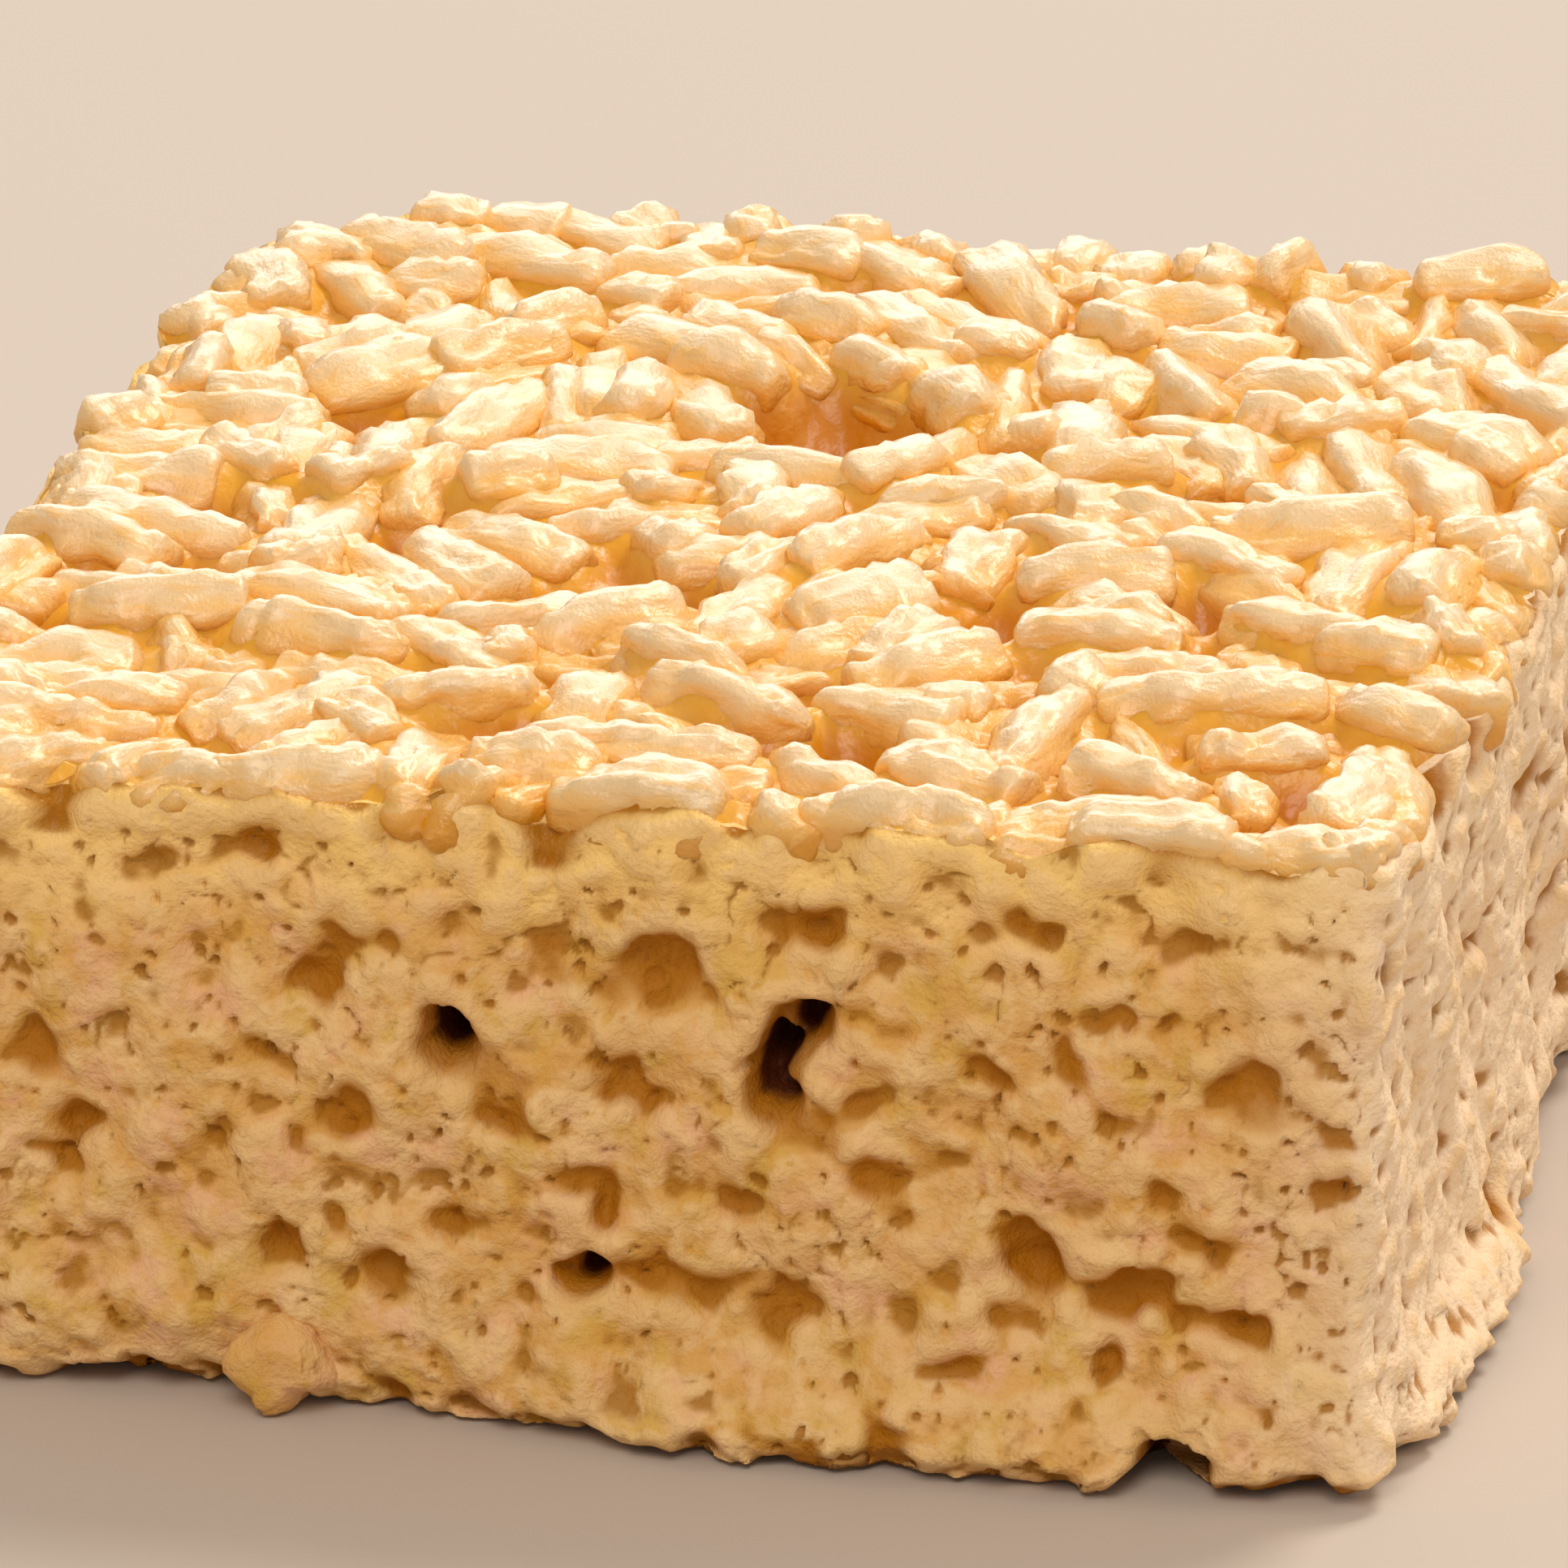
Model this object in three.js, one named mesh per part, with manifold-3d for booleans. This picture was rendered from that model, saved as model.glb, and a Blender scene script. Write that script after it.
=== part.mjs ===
import * as THREE from "three";
import { mergeVertices } from "three/addons/utils/BufferGeometryUtils.js";
import Module from "manifold-3d";

// A square of puffed rice set in marshmallow, cut with a knife. Millimetres, +Z up.
// The origin is the middle of the block's footprint, on the surface it rests on.
// The long cut face with the named hollows looks towards -Y.

// Block
const blockWidth = 54;
const blockDepth = 58;
const bedLevel = 20.4; // top of the solid mass that the grains are set in
const pressedLevel = 23; // no grain stands above this
const knifeLevel = 25; // height to which the cuts are carried
const knifeCorner = 1.2;
const wornCorner = 14; // the one corner that isn't sharp, at -X +Y
const outlineSpacing = 3.8;
const sideLevels = 7;

// Cut faces
const faceInset = 1.5; // how far a cut face lies behind the block's widest reach
const bowDepth = 1.1; // how far it bows in, low on the block
const bowStart = 6; // height over which the foot runs out of the bow
const footHeight = 3.5;
const footReach = 1.2; // how far the foot swings in and out along a face
const heelHeight = 1.2;
const heelInset = 0.8;

// Grains
const grainLengths = [6.0, 8.4];
const grainRadii = [1.2, 1.55];
const grainSides = 6;
const grainProfile = [[0, -0.5], [0.9, -0.33], [0.9, 0.33], [0, 0.5]]; // share of radius, of length
const hollowSides = 6;
const gluedShare = 0.66; // how near two grains come, as a share of their radii added
const sunkShare = 0.3; // how far above the bed a grain's middle lies, as a share of its radius
const steepest = Math.tan((24 * Math.PI) / 180);
const triesPerGrain = 60;
const namedDrop = 0.5; // the most that a named grain lies under the pressed level
const strewnCount = 240;

// Grains that can be told apart on the front half of the top: x, y, heading in degrees, length
const namedGrains = [
  [9.4, -26.6, -7, 7.4],
  [1.0, -26.3, -3, 7.0],
  [-10.5, -26.2, 8, 6.6],
  [17.4, -26.4, 4, 6.4],
  [23.0, -26.8, 0, 5.4],
  [23.0, -21.0, 80, 6.8],
  [0.2, -22.2, 3, 8.2],
  [10.3, -21.6, -24, 7.2],
  [16.0, -21.6, -14, 6.0],
  [19.3, -18.2, 18, 5.6],
  [17.0, -14.7, 14, 8.6],
  [-11.6, -20.6, 50, 6.4],
  [-6.6, -19.4, 28, 6.2],
  [-18.8, -20.6, -4, 7.6],
  [1.9, -17.8, -24, 7.0],
  [7.2, -12.9, 40, 7.2],
  [12.2, -9.6, 3, 6.8],
  [-12.2, -14.8, -9, 7.6],
  [-18.2, -13.4, 14, 7.4],
  [-3.6, -11.6, 36, 6.8],
  [-13.4, -11.2, -14, 7.2],
  [4.1, -8.6, 36, 6.6],
  [18.4, -7.6, -10, 6.2],
  [2.8, -3.6, 54, 6.4],
  [10.8, -3.8, 16, 6.8],
  [17.1, 1.3, 20, 8.4],
  [-22.4, -7.6, -16, 8.0],
];

// Hollows in the top, which the grains leave bare: x, y, half width, half depth, floor
const topHollows = [
  [-0.6, 8.6, 3.6, 3.2, 18.4],
  [-4.6, -7.4, 3.0, 1.8, 19.2],
  [8.4, -6.8, 1.3, 1.7, 19.2],
  [15.0, -5.6, 1.1, 1.9, 19.2],
  [5.4, -19.8, 1.6, 2.2, 19.4],
  [13.6, -18.6, 1.4, 1.8, 19.4],
  [21.0, -24.2, 1.2, 1.6, 19.6],
  [-19.4, -3.4, 1.8, 2.2, 19.2],
];

// Hollows in the front face: x, z, width, height, reach into the block
const frontHollows = [
  [5.3, 13.3, 1.9, 3.3, 4.0],
  [6.6, 14.6, 1.7, 1.6, 3.0],
  [-5.2, 13.5, 1.9, 2.1, 3.6],
  [6.8, 18.0, 1.2, 1.2, 2.6],
  [-1.0, 5.6, 1.4, 1.4, 3.0],
  [-0.3, 7.9, 1.1, 1.9, 2.4],
  [20.6, 5.5, 1.6, 1.2, 2.4],
  [12.5, 13.6, 2.1, 1.2, 2.0],
  [1.9, 16.6, 3.4, 3.0, 2.2],
  [13.6, 7.3, 2.2, 3.1, 2.6],
  [16.9, 6.5, 2.4, 1.9, 2.4],
  [20.7, 14.3, 3.5, 1.7, 1.4],
  [1.0, 5.6, 1.5, 1.8, 1.8],
  [17.7, 10.2, 1.3, 1.7, 1.6],
  [8.6, 9.8, 2.0, 1.4, 1.6],
  [-8.6, 10.3, 1.7, 1.8, 1.8],
  [-17.7, 9.2, 2.0, 1.4, 1.7],
  [-10.7, 5.7, 1.6, 1.6, 1.7],
  [-5.4, 6.7, 1.7, 1.4, 1.6],
  [-7.5, 5.2, 1.2, 2.3, 1.8],
  [-3.4, 10.7, 3.2, 1.2, 1.6],
  [-11.1, 19.4, 1.5, 2.4, 2.2],
  [-6.9, 20.6, 1.4, 1.8, 1.8],
  [-9.7, 14.8, 2.5, 1.2, 1.6],
  [-19.1, 11.7, 1.5, 1.6, 1.6],
  [5.8, 4.9, 3.0, 2.3, 1.4],
  [13.6, 19.2, 1.6, 1.2, 1.7],
  [4.1, 8.5, 1.5, 1.8, 1.4],
  [-22.9, 6.4, 2.2, 1.8, 2.4],
  [-23.6, 15.8, 1.8, 2.0, 2.2],
  [18.0, 0.5, 2.6, 3.4, 3.4],
  [-7.1, 0.6, 1.4, 2.4, 2.0],
  [-16.4, -0.6, 9.0, 4.4, 2.4],
];
const hollowsPerSide = 17;
const hollowWidths = [1.4, 3.6];
const hollowReach = [1.5, 3.2];
const seatedGrain = { x: -10.8, y: -25.3, z: 1.55, length: 6.0, radius: 1.6 }; // end-on, at the front foot

// Facets
const smallestDetail = 0.03;
const hairShift = 0.02;

const cerealColour = 0xe6bd7c;

// Park and Miller's generator: the same row of numbers between 0 and 1 for the same seed
function drawsFrom(seed) {
  let state = seed;
  return () => {
    state = (state * 16807) % 2147483647;
    return state / 2147483647;
  };
}

function between(range, share) {
  return range[0] + (range[1] - range[0]) * share;
}

function smoothStep(edge0, edge1, value) {
  const share = Math.min(Math.max((value - edge0) / (edge1 - edge0), 0), 1);
  return share * share * (3 - 2 * share);
}

// How far the cut surface lies inside the block's widest reach at a point of its sides
function sideInset(x, y, z) {
  const rise = Math.min(z / pressedLevel, 1);
  const bow = bowDepth * (1 - rise) ** 0.7 * smoothStep(0, bowStart, z);
  const wave = 0.13 * Math.sin(0.57 * x + 0.61 * y + 0.4 * z + 1.3)
    + 0.1 * Math.sin(1.03 * x - 0.94 * y - 0.7 * z + 0.4)
    + 0.07 * Math.sin(1.7 * x + 1.9 * y + 1.1 * z + 2.2);
  const foot = footReach * Math.sin(0.125 * x - 0.15 * y + 2.25) * (1 - smoothStep(0.6, footHeight, z));
  const heel = heelInset * (1 - smoothStep(0, heelHeight, z));
  return Math.max(faceInset + bow + wave - foot + heel, 0);
}

// The block's plan, drawn in by a margin: three sharp corners and one worn one
function planOutline(margin) {
  const right = blockWidth / 2 - margin;
  const back = blockDepth / 2 - margin;
  const sharp = knifeCorner;
  const worn = wornCorner;
  const outline = new THREE.Shape();
  outline.moveTo(-right + sharp, -back);
  outline.lineTo(right - sharp, -back);
  outline.absarc(right - sharp, -back + sharp, sharp, -Math.PI / 2, 0, false);
  outline.lineTo(right, back - sharp);
  outline.absarc(right - sharp, back - sharp, sharp, 0, Math.PI / 2, false);
  outline.lineTo(-right + worn, back);
  outline.absarc(-right + worn, back - worn, worn, Math.PI / 2, Math.PI, false);
  outline.lineTo(-right, -back + sharp);
  outline.absarc(-right + sharp, -back + sharp, sharp, Math.PI, 1.5 * Math.PI, false);
  return outline;
}

// All that the knife leaves: the outline carried up, its sides bowed and its foot uneven
function makeCutBlock() {
  const outline = planOutline(0);
  const count = Math.round(outline.getLength() / outlineSpacing);
  const evenOutline = new THREE.Shape(outline.getSpacedPoints(count));
  const geometry = new THREE.ExtrudeGeometry(evenOutline, {
    depth: 1,
    steps: sideLevels,
    bevelEnabled: false,
  });
  const position = geometry.attributes.position;
  for (let i = 0; i < position.count; i += 1) {
    const x = position.getX(i);
    const y = position.getY(i);
    const z = knifeLevel * position.getZ(i) ** 1.5; // levels crowd towards the foot
    const inset = sideInset(x, y, z);
    const shrinkX = 1 - (2 * inset) / blockWidth;
    const shrinkY = 1 - (2 * inset) / blockDepth;
    position.setXYZ(i, x * shrinkX, y * shrinkY, z);
  }
  return geometry;
}

// What is taken off the top of the cut block, down to the bed and into its hollows
function makeBedCutters() {
  const lid = new THREE.BoxGeometry(2 * blockWidth, 2 * blockDepth, 2 * (knifeLevel - bedLevel));
  lid.translate(0, 0, knifeLevel);
  const pits = topHollows.map(([x, y, halfX, halfY, floor]) => {
    const pit = new THREE.SphereGeometry(1, 8, 4);
    pit.rotateX(Math.PI / 2);
    pit.scale(halfX, halfY, bedLevel - floor);
    pit.translate(x, y, bedLevel);
    return pit;
  });
  return [lid, ...pits];
}

// Height at which a ball of the given radius comes to rest at x, y on what is laid already
function restingHeight(balls, x, y, radius) {
  let height = bedLevel + sunkShare * radius;
  for (const ball of balls) {
    const reach = gluedShare * (radius + ball.radius);
    const apart = (x - ball.x) ** 2 + (y - ball.y) ** 2;
    if (apart < reach * reach) {
      height = Math.max(height, ball.z + Math.sqrt(reach * reach - apart));
    }
  }
  return height;
}

// A grain laid at x, y with its heading: its two ends set its slope and its middle may lift it
function settleGrain(balls, x, y, heading, length, radius) {
  const reach = 0.3 * length;
  const alongX = Math.cos(heading) * reach;
  const alongY = Math.sin(heading) * reach;
  const tail = restingHeight(balls, x - alongX, y - alongY, radius);
  const middle = restingHeight(balls, x, y, radius);
  const head = restingHeight(balls, x + alongX, y + alongY, radius);
  const slope = Math.min(Math.max((head - tail) / (2 * reach), -steepest), steepest);
  const z = Math.max(middle, head - slope * reach, tail + slope * reach);
  const top = z + Math.abs(slope) * 0.4 * length + radius;
  return { x, y, z, heading, slope, length, radius, top };
}

function ballsOf(grain) {
  return [-0.36, -0.18, 0, 0.18, 0.36].map((share) => ({
    x: grain.x + Math.cos(grain.heading) * share * grain.length,
    y: grain.y + Math.sin(grain.heading) * share * grain.length,
    z: grain.z + grain.slope * share * grain.length,
    radius: grain.radius * (1 - 1.2 * share * share),
  }));
}

function inTopHollow(x, y) {
  return topHollows.some(([cx, cy, rx, ry]) => ((x - cx) / rx) ** 2 + ((y - cy) / ry) ** 2 < 1);
}

// Whether a grain's middle or one of its ends reaches into a bare place
function crossesTopHollow(grain) {
  return [-0.4, -0.2, 0, 0.2, 0.4].some((share) => {
    const x = grain.x + Math.cos(grain.heading) * share * grain.length;
    const y = grain.y + Math.sin(grain.heading) * share * grain.length;
    return inTopHollow(x, y);
  });
}

// Grains dropped one by one: each keeps the lowest of the places it tries, if it stays under the level
function dropGrains(next, grains, balls) {
  for (let i = 0; i < strewnCount; i += 1) {
    const length = between(grainLengths, next());
    const radius = between(grainRadii, next());
    let best = null;
    for (let k = 0; k < triesPerGrain; k += 1) {
      const x = (next() - 0.5) * (blockWidth - 1);
      const y = (next() - 0.5) * (blockDepth - 1);
      const heading = (next() - 0.5) * Math.PI;
      const grain = settleGrain(balls, x, y, heading, length, radius);
      if (!crossesTopHollow(grain) && (best === null || grain.top < best.top)) {
        best = grain;
      }
    }
    if (best !== null && best.top < pressedLevel) {
      grains.push(best);
      balls.push(...ballsOf(best));
    }
  }
}

// The grains that can be told apart lie at the pressed level, over whatever is under them
function layNamedGrains(next, grains, balls) {
  for (const [x, y, degrees, length] of namedGrains) {
    const radius = between(grainRadii, next());
    const grain = settleGrain(balls, x, y, (degrees * Math.PI) / 180, length, radius);
    grain.z = pressedLevel - radius - namedDrop * next();
    grains.push(grain);
    balls.push(...ballsOf(grain));
  }
}

function layGrains() {
  const next = drawsFrom(2027);
  const grains = [];
  const balls = [];
  layNamedGrains(next, grains, balls);
  dropGrains(next, grains, balls);
  return grains;
}

// One puffed grain: a spindle with blunt ends, turned about its long axis
function makeGrain({ x, y, z, heading, slope, length, radius }) {
  const points = grainProfile.map(([r, t]) => new THREE.Vector2(r * radius, t * length));
  const geometry = new THREE.LatheGeometry(points, grainSides);
  geometry.rotateZ(-Math.PI / 2); // long axis to +X
  geometry.rotateY(-Math.atan(slope));
  geometry.rotateZ(heading);
  geometry.translate(x, y, z);
  return geometry;
}

// A rounded hollow cutter with its middle on the face it opens in and its tip inside the block
function makeHollow(x, y, z, width, height, reach, facesX) {
  const geometry = new THREE.SphereGeometry(1, hollowSides, 3);
  geometry.scale(width / 2, reach, height / 2);
  if (facesX) {
    geometry.rotateZ(Math.PI / 2);
  }
  geometry.translate(x, y, z);
  return geometry;
}

function makeFrontHollows() {
  const faceY = -blockDepth / 2;
  return frontHollows.map(([x, z, width, height, reach]) => {
    const y = faceY + sideInset(x, faceY, z);
    return makeHollow(x, y, z, width, height, reach, false);
  });
}

// Hollows strewn over another side; along is the side's length and place turns a point into x, y
function makeStrewnHollows(seed, along, place, facesX) {
  const next = drawsFrom(seed);
  const cutters = [];
  for (let i = 0; i < hollowsPerSide; i += 1) {
    const share = (i + 0.15 + 0.7 * next()) / hollowsPerSide; // one to each stretch of the side
    const z = between([1.5, bedLevel - 1], next());
    const width = between(hollowWidths, next() ** 2);
    const height = width * between([0.6, 1.1], next());
    const reach = between(hollowReach, next());
    const [x, y] = place((share - 0.5) * (along - 4), z);
    cutters.push(makeHollow(x, y, z, width, height, reach, facesX));
  }
  return cutters;
}

function makeSideHollows() {
  const right = blockWidth / 2;
  const back = blockDepth / 2;
  const onRight = (s, z) => [right - sideInset(right, s, z), s];
  const onBack = (s, z) => [s, back - sideInset(s, back, z)];
  const onLeft = (s, z) => [-right + sideInset(-right, s, z), s];
  return [
    ...makeStrewnHollows(311, blockDepth, onRight, true),
    ...makeStrewnHollows(523, blockWidth - wornCorner, onBack, false),
    ...makeStrewnHollows(739, blockDepth - wornCorner, onLeft, true),
  ];
}

function toSolid(wasm, geometry) {
  geometry.deleteAttribute("normal");
  geometry.deleteAttribute("uv");
  const merged = mergeVertices(geometry, 1e-4);
  const mesh = new wasm.Mesh({
    numProp: 3,
    vertProperties: new Float32Array(merged.attributes.position.array),
    triVerts: new Uint32Array(merged.index.array),
  });
  return new wasm.Manifold(mesh);
}

function toGeometry(solid) {
  const mesh = solid.getMesh();
  const geometry = new THREE.BufferGeometry();
  geometry.setAttribute("position", new THREE.BufferAttribute(mesh.vertProperties, 3));
  geometry.setIndex(new THREE.BufferAttribute(mesh.triVerts, 1));
  geometry.computeVertexNormals();
  return geometry;
}

// The one body that is left when sealed pockets are filled and loose scraps dropped
function largestBody(solid) {
  return solid.decompose().reduce((a, b) => (b.volume() > a.volume() ? b : a));
}

// Every corner shifted by a hair, so that no facet's three corners lie in one line
function openSlivers(solid) {
  return solid.warp((corner) => {
    const [x, y, z] = corner;
    corner[0] += hairShift * Math.sin(917 * x + 631 * y + 733 * z);
    corner[1] += hairShift * Math.sin(811 * x - 577 * y + 691 * z);
    if (z > hairShift) {
      corner[2] += hairShift * Math.sin(593 * x + 863 * y - 787 * z);
    }
  });
}

async function makeTreat() {
  const wasm = await Module();
  wasm.setup();
  const joined = (geometries) => wasm.Manifold.union(geometries.map((one) => toSolid(wasm, one)));
  const cutBlock = toSolid(wasm, makeCutBlock());
  const core = cutBlock.subtract(joined(makeBedCutters()));
  const topGrains = joined(layGrains().map(makeGrain)).intersect(cutBlock);
  const footGrain = makeGrain({ ...seatedGrain, heading: Math.PI / 2, slope: 0 });
  const hollows = joined([...makeFrontHollows(), ...makeSideHollows()]);
  const mass = core.add(topGrains).subtract(hollows).add(toSolid(wasm, footGrain));
  return toGeometry(openSlivers(largestBody(mass.simplify(smallestDetail))));
}

const treat = new THREE.Mesh(
  await makeTreat(),
  new THREE.MeshStandardMaterial({ color: cerealColour, roughness: 0.55, metalness: 0 }),
);
treat.name = "treat";

const riceTreat = new THREE.Group();
riceTreat.add(treat);

export default riceTreat;
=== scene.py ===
import math
import bpy
import numpy as np
from mathutils import Matrix, Vector


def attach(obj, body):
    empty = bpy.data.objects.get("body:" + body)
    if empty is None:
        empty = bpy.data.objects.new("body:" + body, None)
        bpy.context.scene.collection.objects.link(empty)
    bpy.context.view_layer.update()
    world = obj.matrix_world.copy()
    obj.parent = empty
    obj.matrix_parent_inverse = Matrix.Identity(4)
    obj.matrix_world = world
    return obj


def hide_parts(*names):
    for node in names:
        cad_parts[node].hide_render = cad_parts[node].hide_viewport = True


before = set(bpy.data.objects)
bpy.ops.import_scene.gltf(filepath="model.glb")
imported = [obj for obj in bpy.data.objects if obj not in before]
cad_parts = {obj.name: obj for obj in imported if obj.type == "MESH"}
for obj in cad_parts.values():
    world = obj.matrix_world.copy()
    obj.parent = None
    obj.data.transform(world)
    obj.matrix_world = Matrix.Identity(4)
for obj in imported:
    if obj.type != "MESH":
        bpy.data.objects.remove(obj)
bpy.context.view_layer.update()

# lengths in this file are in millimetres, and makeMesh turns them into metres
mm = 0.001
farOff = 9.0  # a distance that stands for nothing near

block = {
    "width": 54.0,
    "depth": 58.0,
    "bedLevel": 20.4,  # top of the solid mass that the grains are set in
    "pressedLevel": 23.0,  # no grain stands above this
    "knifeCorner": 1.2,
    "wornCorner": 14.0,  # the one corner that isn't sharp, at -X +Y
    "faceInset": 1.5,
    "bowDepth": 1.1,
    "bowStart": 6.0,
    "bowCurve": 0.7,
    # height, rates along x, y and z, and start of each wave in the cut
    "waves": (
        (0.13, 0.57, 0.61, 0.4, 1.3),
        (0.1, 1.03, -0.94, -0.7, 0.4),
        (0.07, 1.7, 1.9, 1.1, 2.2),
    ),
    "footSwing": (0.125, -0.15, 2.25),  # rates along x and y, and start
    "footLevels": (0.6, 3.5),  # the swing is full below the first and gone above the second
    "footReach": 1.2,
    "heelHeight": 1.2,
    "heelInset": 0.8,
}

grainRule = {
    "lengths": (6.0, 8.4),
    "radii": (1.2, 1.55),
    "gluedShare": 0.66,
    "sunkShare": 0.3,
    "steepest": math.tan(math.radians(24)),
    "tries": 60,
    "count": 240,
    "namedDrop": 0.5,
    "seed": 2027,
}

# grains that can be told apart on the front half of the top: x, y, heading in degrees, length
namedGrains = [
    (9.4, -26.6, -7, 7.4),
    (1.0, -26.3, -3, 7.0),
    (-10.5, -26.2, 8, 6.6),
    (17.4, -26.4, 4, 6.4),
    (23.0, -26.8, 0, 5.4),
    (23.0, -21.0, 80, 6.8),
    (0.2, -22.2, 3, 8.2),
    (10.3, -21.6, -24, 7.2),
    (16.0, -21.6, -14, 6.0),
    (19.3, -18.2, 18, 5.6),
    (17.0, -14.7, 14, 8.6),
    (-11.6, -20.6, 50, 6.4),
    (-6.6, -19.4, 28, 6.2),
    (-18.8, -20.6, -4, 7.6),
    (1.9, -17.8, -24, 7.0),
    (7.2, -12.9, 40, 7.2),
    (12.2, -9.6, 3, 6.8),
    (-12.2, -14.8, -9, 7.6),
    (-18.2, -13.4, 14, 7.4),
    (-3.6, -11.6, 36, 6.8),
    (-13.4, -11.2, -14, 7.2),
    (4.1, -8.6, 36, 6.6),
    (18.4, -7.6, -10, 6.2),
    (2.8, -3.6, 54, 6.4),
    (10.8, -3.8, 16, 6.8),
    (17.1, 1.3, 20, 8.4),
    (-22.4, -7.6, -16, 8.0),
]

# hollows in the top, which the grains leave bare: x, y, half width, half depth, floor
topHollows = [
    (-0.6, 8.6, 3.6, 3.2, 18.4),
    (-4.6, -7.4, 3.0, 1.8, 19.2),
    (8.4, -6.8, 1.3, 1.7, 19.2),
    (15.0, -5.6, 1.1, 1.9, 19.2),
    (5.4, -19.8, 1.6, 2.2, 19.4),
    (13.6, -18.6, 1.4, 1.8, 19.4),
    (21.0, -24.2, 1.2, 1.6, 19.6),
    (-19.4, -3.4, 1.8, 2.2, 19.2),
]

# hollows in the front face: x, z, width, height, reach into the block
frontHollows = [
    (5.3, 13.3, 1.9, 3.3, 4.0),
    (6.6, 14.6, 1.7, 1.6, 3.0),
    (-5.2, 13.5, 1.9, 2.1, 3.6),
    (6.8, 18.0, 1.2, 1.2, 2.6),
    (-1.0, 5.6, 1.4, 1.4, 3.0),
    (-0.3, 7.9, 1.1, 1.9, 2.4),
    (20.6, 5.5, 1.6, 1.2, 2.4),
    (12.5, 13.6, 2.1, 1.2, 2.0),
    (1.9, 16.6, 3.4, 3.0, 2.2),
    (13.6, 7.3, 2.2, 3.1, 2.6),
    (16.9, 6.5, 2.4, 1.9, 2.4),
    (20.7, 14.3, 3.5, 1.7, 1.4),
    (1.0, 5.6, 1.5, 1.8, 1.8),
    (17.7, 10.2, 1.3, 1.7, 1.6),
    (8.6, 9.8, 2.0, 1.4, 1.6),
    (-8.6, 10.3, 1.7, 1.8, 1.8),
    (-17.7, 9.2, 2.0, 1.4, 1.7),
    (-10.7, 5.7, 1.6, 1.6, 1.7),
    (-5.4, 6.7, 1.7, 1.4, 1.6),
    (-7.5, 5.2, 1.2, 2.3, 1.8),
    (-3.4, 10.7, 3.2, 1.2, 1.6),
    (-11.1, 19.4, 1.5, 2.4, 2.2),
    (-6.9, 20.6, 1.4, 1.8, 1.8),
    (-9.7, 14.8, 2.5, 1.2, 1.6),
    (-19.1, 11.7, 1.5, 1.6, 1.6),
    (5.8, 4.9, 3.0, 2.3, 1.4),
    (13.6, 19.2, 1.6, 1.2, 1.7),
    (4.1, 8.5, 1.5, 1.8, 1.4),
    (-22.9, 6.4, 2.2, 1.8, 2.4),
    (-23.6, 15.8, 1.8, 2.0, 2.2),
    (18.0, 0.5, 2.6, 3.4, 3.4),
    (-7.1, 0.6, 1.4, 2.4, 2.0),
    (-16.4, -0.6, 9.0, 4.4, 2.4),
]

strewnHollows = {
    "perSide": 17,
    "widths": (1.4, 3.6),
    "reach": (1.5, 3.2),
    "seeds": {"cutRight": 311, "cutBack": 523, "cutLeft": 739},
}


def drawsFrom(seed):
    # Park and Miller: s becomes 16807 s mod 2147483647, and the draw is s / 2147483647
    state = seed

    def draw():
        nonlocal state
        state = (state * 16807) % 2147483647
        return state / 2147483647

    return draw


def between(span, share):
    return span[0] + (span[1] - span[0]) * share


def smoothStep(edge0, edge1, value):
    # 3 t^2 - 2 t^3 of the clamped share t between the two edges
    share = np.clip((value - edge0) / (edge1 - edge0), 0, 1)
    return share * share * (3 - 2 * share)


def sideInset(x, y, z):
    # how far the cut surface lies inside the widest reach: inset + bow + three sine waves - foot + heel
    rise = np.clip(z / block["pressedLevel"], 0, 1)
    bow = block["bowDepth"] * (1 - rise) ** block["bowCurve"] * smoothStep(0, block["bowStart"], z)
    wave = sum(high * np.sin(a * x + b * y + c * z + start) for high, a, b, c, start in block["waves"])
    a, b, start = block["footSwing"]
    swing = np.sin(a * x + b * y + start) * (1 - smoothStep(*block["footLevels"], z))
    heel = block["heelInset"] * (1 - smoothStep(0, block["heelHeight"], z))
    inset = block["faceInset"] + bow + wave - block["footReach"] * swing + heel
    return np.maximum(inset, 0)


class Pile:
    # the balls of the grains laid so far, as growing arrays
    def __init__(self, room=4000):
        self.balls = np.zeros((room, 4))
        self.count = 0

    def add(self, grain):
        shares = np.array([-0.36, -0.18, 0, 0.18, 0.36])
        rows = self.balls[self.count : self.count + 5]
        rows[:, 0] = grain["x"] + math.cos(grain["heading"]) * shares * grain["length"]
        rows[:, 1] = grain["y"] + math.sin(grain["heading"]) * shares * grain["length"]
        rows[:, 2] = grain["z"] + grain["slope"] * shares * grain["length"]
        rows[:, 3] = grain["radius"] * (1 - 1.2 * shares * shares)
        self.count += 5

    def restingHeight(self, x, y, radius, glued):
        # highest z_j + sqrt(reach^2 - d^2) over the balls within reach = glued (radius + radius_j)
        laid = self.balls[: self.count]
        reach = glued * (radius + laid[:, 3])
        apart = (x[:, None] - laid[:, 0]) ** 2 + (y[:, None] - laid[:, 1]) ** 2
        lift = np.sqrt(np.maximum(reach * reach - apart, 0)) + laid[:, 2]
        lift = np.where(apart < reach * reach, lift, -1e9)
        floor = block["bedLevel"] + grainRule["sunkShare"] * radius
        return np.maximum(lift.max(axis=1, initial=-1e9), floor)


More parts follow.
